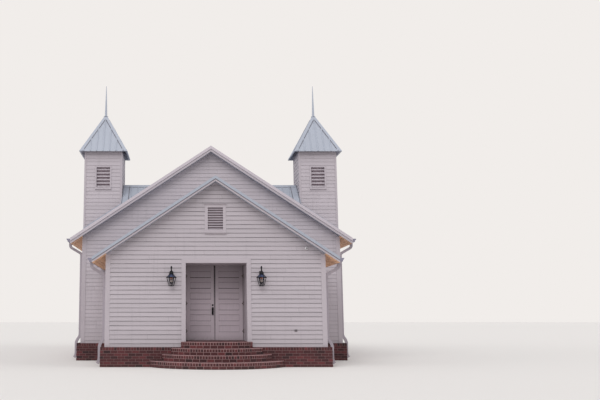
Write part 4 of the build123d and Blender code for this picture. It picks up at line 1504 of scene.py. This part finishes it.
def finish(name):
    """One of the chapel's materials, made once."""
    if name in FINISHES:
        return FINISHES[name]
    scene = bpy.context.scene
    sizes = scene.chapel_siding
    own = {key: tuple(getattr(scene.chapel_colours, key)) for key in ChapelColours.__annotations__}
    brick_colours = (own["brick_dark"], own["brick_light"])
    # Painted shade: the porch's boards get the siding paint a little darker.
    porch_shaded_paint = shade(own["siding"], 0.93)
    makers = {
        # The last number of each siding row sets how strong the painted shade along the laps is.
        "porch_boards": (painted_siding, sizes, sizes.porch_line, porch_shaded_paint, 0.85),
        "main_boards": (painted_siding, sizes, sizes.main_line, own["siding"], 0.5),
        "tower_boards": (painted_siding, sizes, sizes.tower_line, own["siding"], 0.3),
        "trim_paint": (painted_trim, own["trim"]),
        "door_paint": (door_paint, own["door"]),
        "door_beads": (bead_paint, own["door"]),
        "porch_slats": (slat_paint, own["trim"], "porch_louver"),
        "tower_slats": (slat_paint, own["trim"], "tower_louvers"),
        "roof_sheet": (coated_metal, own["roof"]),
        "edge_metal": (edge_metal, own["roof"], own["trim"]),
        "spout_coat": (coated_metal, own["spout"], 0.1),
        "gutter_coat": (coated_metal, screen_colour(134, 130, 146), 0.2, 0.4),
        "bricks": (fired_brick, *brick_colours),
        "step_bricks": (fired_brick, *brick_colours, high("brick_steps").z / 4),
        "mortar": (lime_mortar, own["mortar"]),
        # Painted light: the steps' mortar is the mortar made much lighter, against the shade in
        # its sunk joints.
        "step_mortar": (lime_mortar, shade(own["mortar"], 1.9)),
        "soffit_stain": (stained_boards, own["soffit"]),
        # Dark closures that also stand for the shade in gaps: painted shade.
        "closure": (moulded_plastic, screen_colour(80, 76, 86)),
        "screen": (moulded_plastic, screen_colour(150, 132, 142)),
        "pine_floor": (floor_boards,),
        "black_iron": (dark_iron, own["iron"]),
        "hinge_steel": (dark_iron, screen_colour(92, 84, 80), 0.8, 0.4),
        "pane_glass": (pane_glass, screen_colour(170, 166, 174), 0.04),
        "hood_glass": (pane_glass, screen_colour(66, 74, 106), 0.8),
        "candle": (moulded_plastic, screen_colour(150, 132, 118)),
        "copper_cup": (dark_iron, screen_colour(158, 104, 82), 0.3, 0.4),
        "white_plastic": (moulded_plastic, screen_colour(214, 212, 214)),
        "dark_plastic": (moulded_plastic, screen_colour(92, 84, 88)),
    }
    maker, *values = makers[name]
    FINISHES[name] = maker("chapel_" + name, *values)
    return FINISHES[name]


# Operators


class LaySiding(bpy.types.Operator):
    """Covers the walls with lapped boards"""

    bl_idname = "chapel.lay_siding"
    bl_label = "Lap siding"
    bl_options = {"REGISTER", "UNDO"}

    def execute(self, context):
        scene = context.scene
        sizes = scene.chapel_siding
        hand_over(porch_siding(sizes), "porch_siding", finish=finish("porch_boards"))
        hand_over(main_siding(sizes), "main_siding", finish=finish("main_boards"))
        hand_over(tower_siding(sizes), "tower_siding", finish=finish("tower_boards"))
        hand_over(tower_corners(), "tower_corners", finish=finish("trim_paint"))
        return {"FINISHED"}


class LayBricks(bpy.types.Operator):
    """Faces the plinths with bricks and builds the round steps"""

    bl_idname = "chapel.lay_bricks"
    bl_label = "Brickwork"
    bl_options = {"REGISTER", "UNDO"}

    def execute(self, context):
        scene = context.scene
        sizes = scene.chapel_bricks
        bricks = finish("bricks")
        hand_over(plinth_bricks(sizes), "plinth_bricks", finish=bricks)
        laid, bed = step_brickwork(sizes)
        hand_over(laid, "step_bricks", finish=finish("step_bricks"))
        hand_over(bed, "step_mortar", finish=finish("step_mortar"))
        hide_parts("brick_steps")
        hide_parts("brick_steps")
        hand_over(recess_paving(sizes), "recess_paving", finish=bricks)
        return {"FINISHED"}


class FitEntrance(bpy.types.Operator):
    """Adds the door panels' beads, the handle and the two lanterns"""

    bl_idname = "chapel.fit_entrance"
    bl_label = "Entrance"
    bl_options = {"REGISTER", "UNDO"}

    def execute(self, context):
        beads = finish("door_beads")
        for side in ("left", "right"):
            piece = door_mouldings("door_" + side)
            name = "door_" + side + "_mouldings"
            hand_over(piece, name, side + "_door", beads)
        iron = finish("black_iron")
        pull = hand_over(door_pull(), "door_pull", "left_door", iron)
        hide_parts("door_handle")
        metal = hand_over(both_lanterns(lantern_iron()), "lantern_iron", finish=iron)
        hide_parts("lanterns")
        panes, hoods = both_lanterns(glass_shell(PANES)), both_lanterns(glass_shell(HOOD_PANES))
        hand_over(panes, "lantern_panes", finish=finish("pane_glass"))
        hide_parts("lantern_glass")
        hand_over(hoods, "lantern_hoods", finish=finish("hood_glass"))
        candles = both_lanterns(lantern_candles())
        hand_over(candles, "lantern_candles", finish=finish("candle"))
        sockets = both_lanterns(lantern_socket())
        hand_over(sockets, "lantern_sockets", finish=finish("copper_cup"))
        return {"FINISHED"}


class FitWalls(bpy.types.Operator):
    """Adds the louvers' screens, the porch louver's caps, the camera's lens, gutter straps and
    spout bands
    """

    bl_idname = "chapel.fit_walls"
    bl_label = "Wall fittings"
    bl_options = {"REGISTER", "UNDO"}

    def execute(self, context):
        screens = join([louver_screen("porch_louver"), louver_screen("tower_louvers")])
        hand_over(screens, "louver_screens", finish=finish("screen"))
        caps = louver_caps("porch_louver", 0.015)
        hand_over(caps, "louver_caps", finish=finish("trim_paint"))
        hand_over(camera_lens(), "camera_lens", finish=finish("dark_plastic"))
        hand_over(gutter_straps(), "gutter_straps", finish=finish("spout_coat"))
        hand_over(spout_bands(), "spout_bands", finish=finish("spout_coat"))
        return {"FINISHED"}


class LayRoofing(bpy.types.Operator):
    """Adds the ribs of the metal roofs and the boards under the eaves"""

    bl_idname = "chapel.lay_roofing"
    bl_label = "Metal roofing"
    bl_options = {"REGISTER", "UNDO"}

    def execute(self, context):
        scene = context.scene
        sizes = scene.chapel_roofs
        sheet = finish("roof_sheet")
        porch_y = low("porch_roof_right").y
        porch = slope_ribs(sizes, PORCH_RIDGE, PORCH_REACH, porch_y + 0.06, MAIN_FRONT)
        hand_over(both_sides(porch), "porch_roof_ribs", finish=sheet)
        main_y0, main_y1 = low("main_roof_right").y, high("main_roof_right").y
        main = slope_ribs(sizes, MAIN_RIDGE, MAIN_REACH, main_y0 + 0.06, main_y1 - 0.06)
        keep_clear_of_tower(main)
        hand_over(both_sides(main), "main_roof_ribs", finish=sheet)
        hand_over(tower_ribs(sizes), "tower_roof_ribs", finish=sheet)
        hand_over(saddle_ribs(sizes), "saddle_roof_ribs", finish=sheet)
        hand_over(tower_flashings(), "tower_flashings", finish=sheet)
        hand_over(hip_closures(), "hip_closures", finish=finish("closure"))
        hand_over(saddle_closures(), "saddle_closures", finish=finish("closure"))
        hand_over(rake_closures(), "rake_closures", finish=finish("closure"))
        porch_soffit = soffit(PORCH_REACH, PORCH_HALF, PORCH_UNDER, porch_y, MAIN_FRONT - 0.02)
        main_soffit = soffit(MAIN_REACH, MAIN_HALF, MAIN_UNDER, main_y0, main_y1)
        soffits = both_sides(join([porch_soffit, main_soffit]))
        hand_over(soffits, "eave_soffits", finish=finish("soffit_stain"))
        return {"FINISHED"}


def keep_clear_of_tower(ribs):
    """Cuts the main roof's ribs away where the right tower stands on the slope."""
    cut_hole(ribs, block(TOWER_IN, MAIN_HALF, TOWER_FRONT, TOWER_BACK, *ABOUT_TOWERS))


class PaintFrame(bpy.types.Operator):
    """Gives each solid of the frame its finish"""

    bl_idname = "chapel.paint_frame"
    bl_label = "Finishes"
    bl_options = {"REGISTER", "UNDO"}

    def execute(self, context):
        by_slot = {
            "painted_wood": "trim_paint",
            "roof_metal": "roof_sheet",
            "brick": "mortar",
            "floor_boards": "pine_floor",
            "spout_metal": "spout_coat",
            "hinge_metal": "hinge_steel",
            "black_iron": "black_iron",
            "clear_glass": "pane_glass",
            "white_plastic": "white_plastic",
            "dark_plastic": "dark_plastic",
        }
        by_node = {
            "door_paint": ("door_left", "door_right", "door_frame"),
            "gutter_coat": ("gutters",),
            "porch_slats": ("porch_louver",),
            "tower_slats": ("tower_louvers",),
            "edge_metal": ("roof_trim",),
            "porch_boards": ("porch_front_walls", "porch_gable_wall", "porch_side_walls"),
            "main_boards": (
                "main_front_walls", "main_gable_wall", "main_side_walls", "main_back_wall"
            ),
            "tower_boards": ("tower_walls",),
        }
        special = {node: chosen for chosen, nodes in by_node.items() for node in nodes}
        for name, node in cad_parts.items():
            slot = node.data.materials[0].name.split(".")[0]
            chosen = finish(special.get(name) or by_slot[slot])
            for place in node.material_slots:
                place.material = chosen
        return {"FINISHED"}


class SetStage(bpy.types.Operator):
    """Sets the floor, the light, the backdrop and the camera"""

    bl_idname = "chapel.set_stage"
    bl_label = "Stage"
    bl_options = {"REGISTER", "UNDO"}

    def execute(self, context):
        scene = context.scene
        colours = scene.chapel_colours
        bpy.ops.object.select_all(action="DESELECT")
        bpy.ops.mesh.primitive_plane_add(size=400, location=(0, 0, -0.002))
        ground = bpy.context.active_object
        ground.name = "ground"
        dress(ground, Shader("stage_ground").surface(tuple(colours.ground), 0.9))
        set_world(scene, tuple(colours.sky))
        for sun in SUNS:
            add_sun(*sun)
        scene.view_settings.view_transform = "Standard"
        set_camera(scene)
        return {"FINISHED"}


def add_sun(name, strength, tilt, turn):
    """A large soft lamp far away."""
    lamp = bpy.data.lights.new(name, "SUN")
    lamp.energy = strength
    lamp.angle = math.radians(SUN_SOFTNESS)
    obj = bpy.data.objects.new(name, lamp)
    obj.rotation_euler = (math.radians(tilt), 0, math.radians(turn))
    bpy.context.scene.collection.objects.link(obj)


def set_world(scene, sky):
    """An even soft light, and a plain pale backdrop where the camera looks past the chapel."""
    scene.world = bpy.data.worlds.new("studio")
    world = NodeTree(scene.world)
    path = world.node("ShaderNodeLightPath")
    camera, glossy, through = (
        Field(world, path.outputs["Is " + kind + " Ray"])
        for kind in ("Camera", "Glossy", "Transmission")
    )
    seen = camera.math("MAXIMUM", glossy).math("MAXIMUM", through)
    even_light = {"Color": (0.97, 0.98, 1.0, 1), "Strength": 0.55}
    even = world.node("ShaderNodeBackground", {}, even_light).outputs[0]
    shown = world.node("ShaderNodeBackground", {}, {"Color": (*sky, 1)}).outputs[0]
    mix = world.node("ShaderNodeMixShader", {}, {0: seen, 1: even, 2: shown})
    world.node("ShaderNodeOutputWorld", {}, {"Surface": mix.outputs[0]})


def set_camera(scene):
    """The camera at the photograph's place and angle."""
    camera = bpy.data.cameras.new("camera")
    camera.sensor_width = 36
    camera.lens = CAMERA_LENS
    camera.shift_x = CAMERA_SHIFT
    camera.clip_end = 500
    obj = bpy.data.objects.new("camera", camera)
    obj.location = CAMERA_PLACE
    obj.rotation_euler = [math.radians(degrees) for degrees in CAMERA_TURN]
    scene.collection.objects.link(obj)
    scene.camera = obj


OPERATORS = (
    LaySiding,
    LayBricks,
    FitEntrance,
    FitWalls,
    LayRoofing,
    PaintFrame,
    SetStage,
)


class ChapelPanel(bpy.types.Panel):
    """Lists the steps that dress the chapel"""

    bl_idname = "VIEW3D_PT_chapel"
    bl_label = "Chapel"
    bl_space_type = "VIEW_3D"
    bl_region_type = "UI"
    bl_category = "Chapel"

    def draw(self, context):
        for operator in OPERATORS:
            self.layout.operator(operator.bl_idname)
        for group in GROUPS:
            self.layout.label(text=group)
            values = getattr(context.scene, group)
            for key in values.__annotations__:
                self.layout.prop(values, key)


GROUPS = {
    "chapel_siding": ChapelSiding,
    "chapel_bricks": ChapelBricks,
    "chapel_roofs": ChapelRoofs,
    "chapel_colours": ChapelColours,
}


def register():
    """Registers the classes and the groups of sizes."""
    for group in GROUPS.values():
        bpy.utils.register_class(group)
    for operator in OPERATORS:
        bpy.utils.register_class(operator)
    bpy.utils.register_class(ChapelPanel)
    for key, group in GROUPS.items():
        setattr(bpy.types.Scene, key, bpy.props.PointerProperty(type=group))


def unregister():
    """Takes the classes and the groups away again."""
    for key in GROUPS:
        delattr(bpy.types.Scene, key)
    bpy.utils.unregister_class(ChapelPanel)
    for operator in reversed(OPERATORS):
        bpy.utils.unregister_class(operator)
    for group in GROUPS.values():
        bpy.utils.unregister_class(group)


def main():
    """Builds all pieces in order."""
    register()
    for operator in OPERATORS:
        group, name = operator.bl_idname.split(".")
        getattr(getattr(bpy.ops, group), name)()
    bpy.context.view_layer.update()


if __name__ == "__main__":
    main()
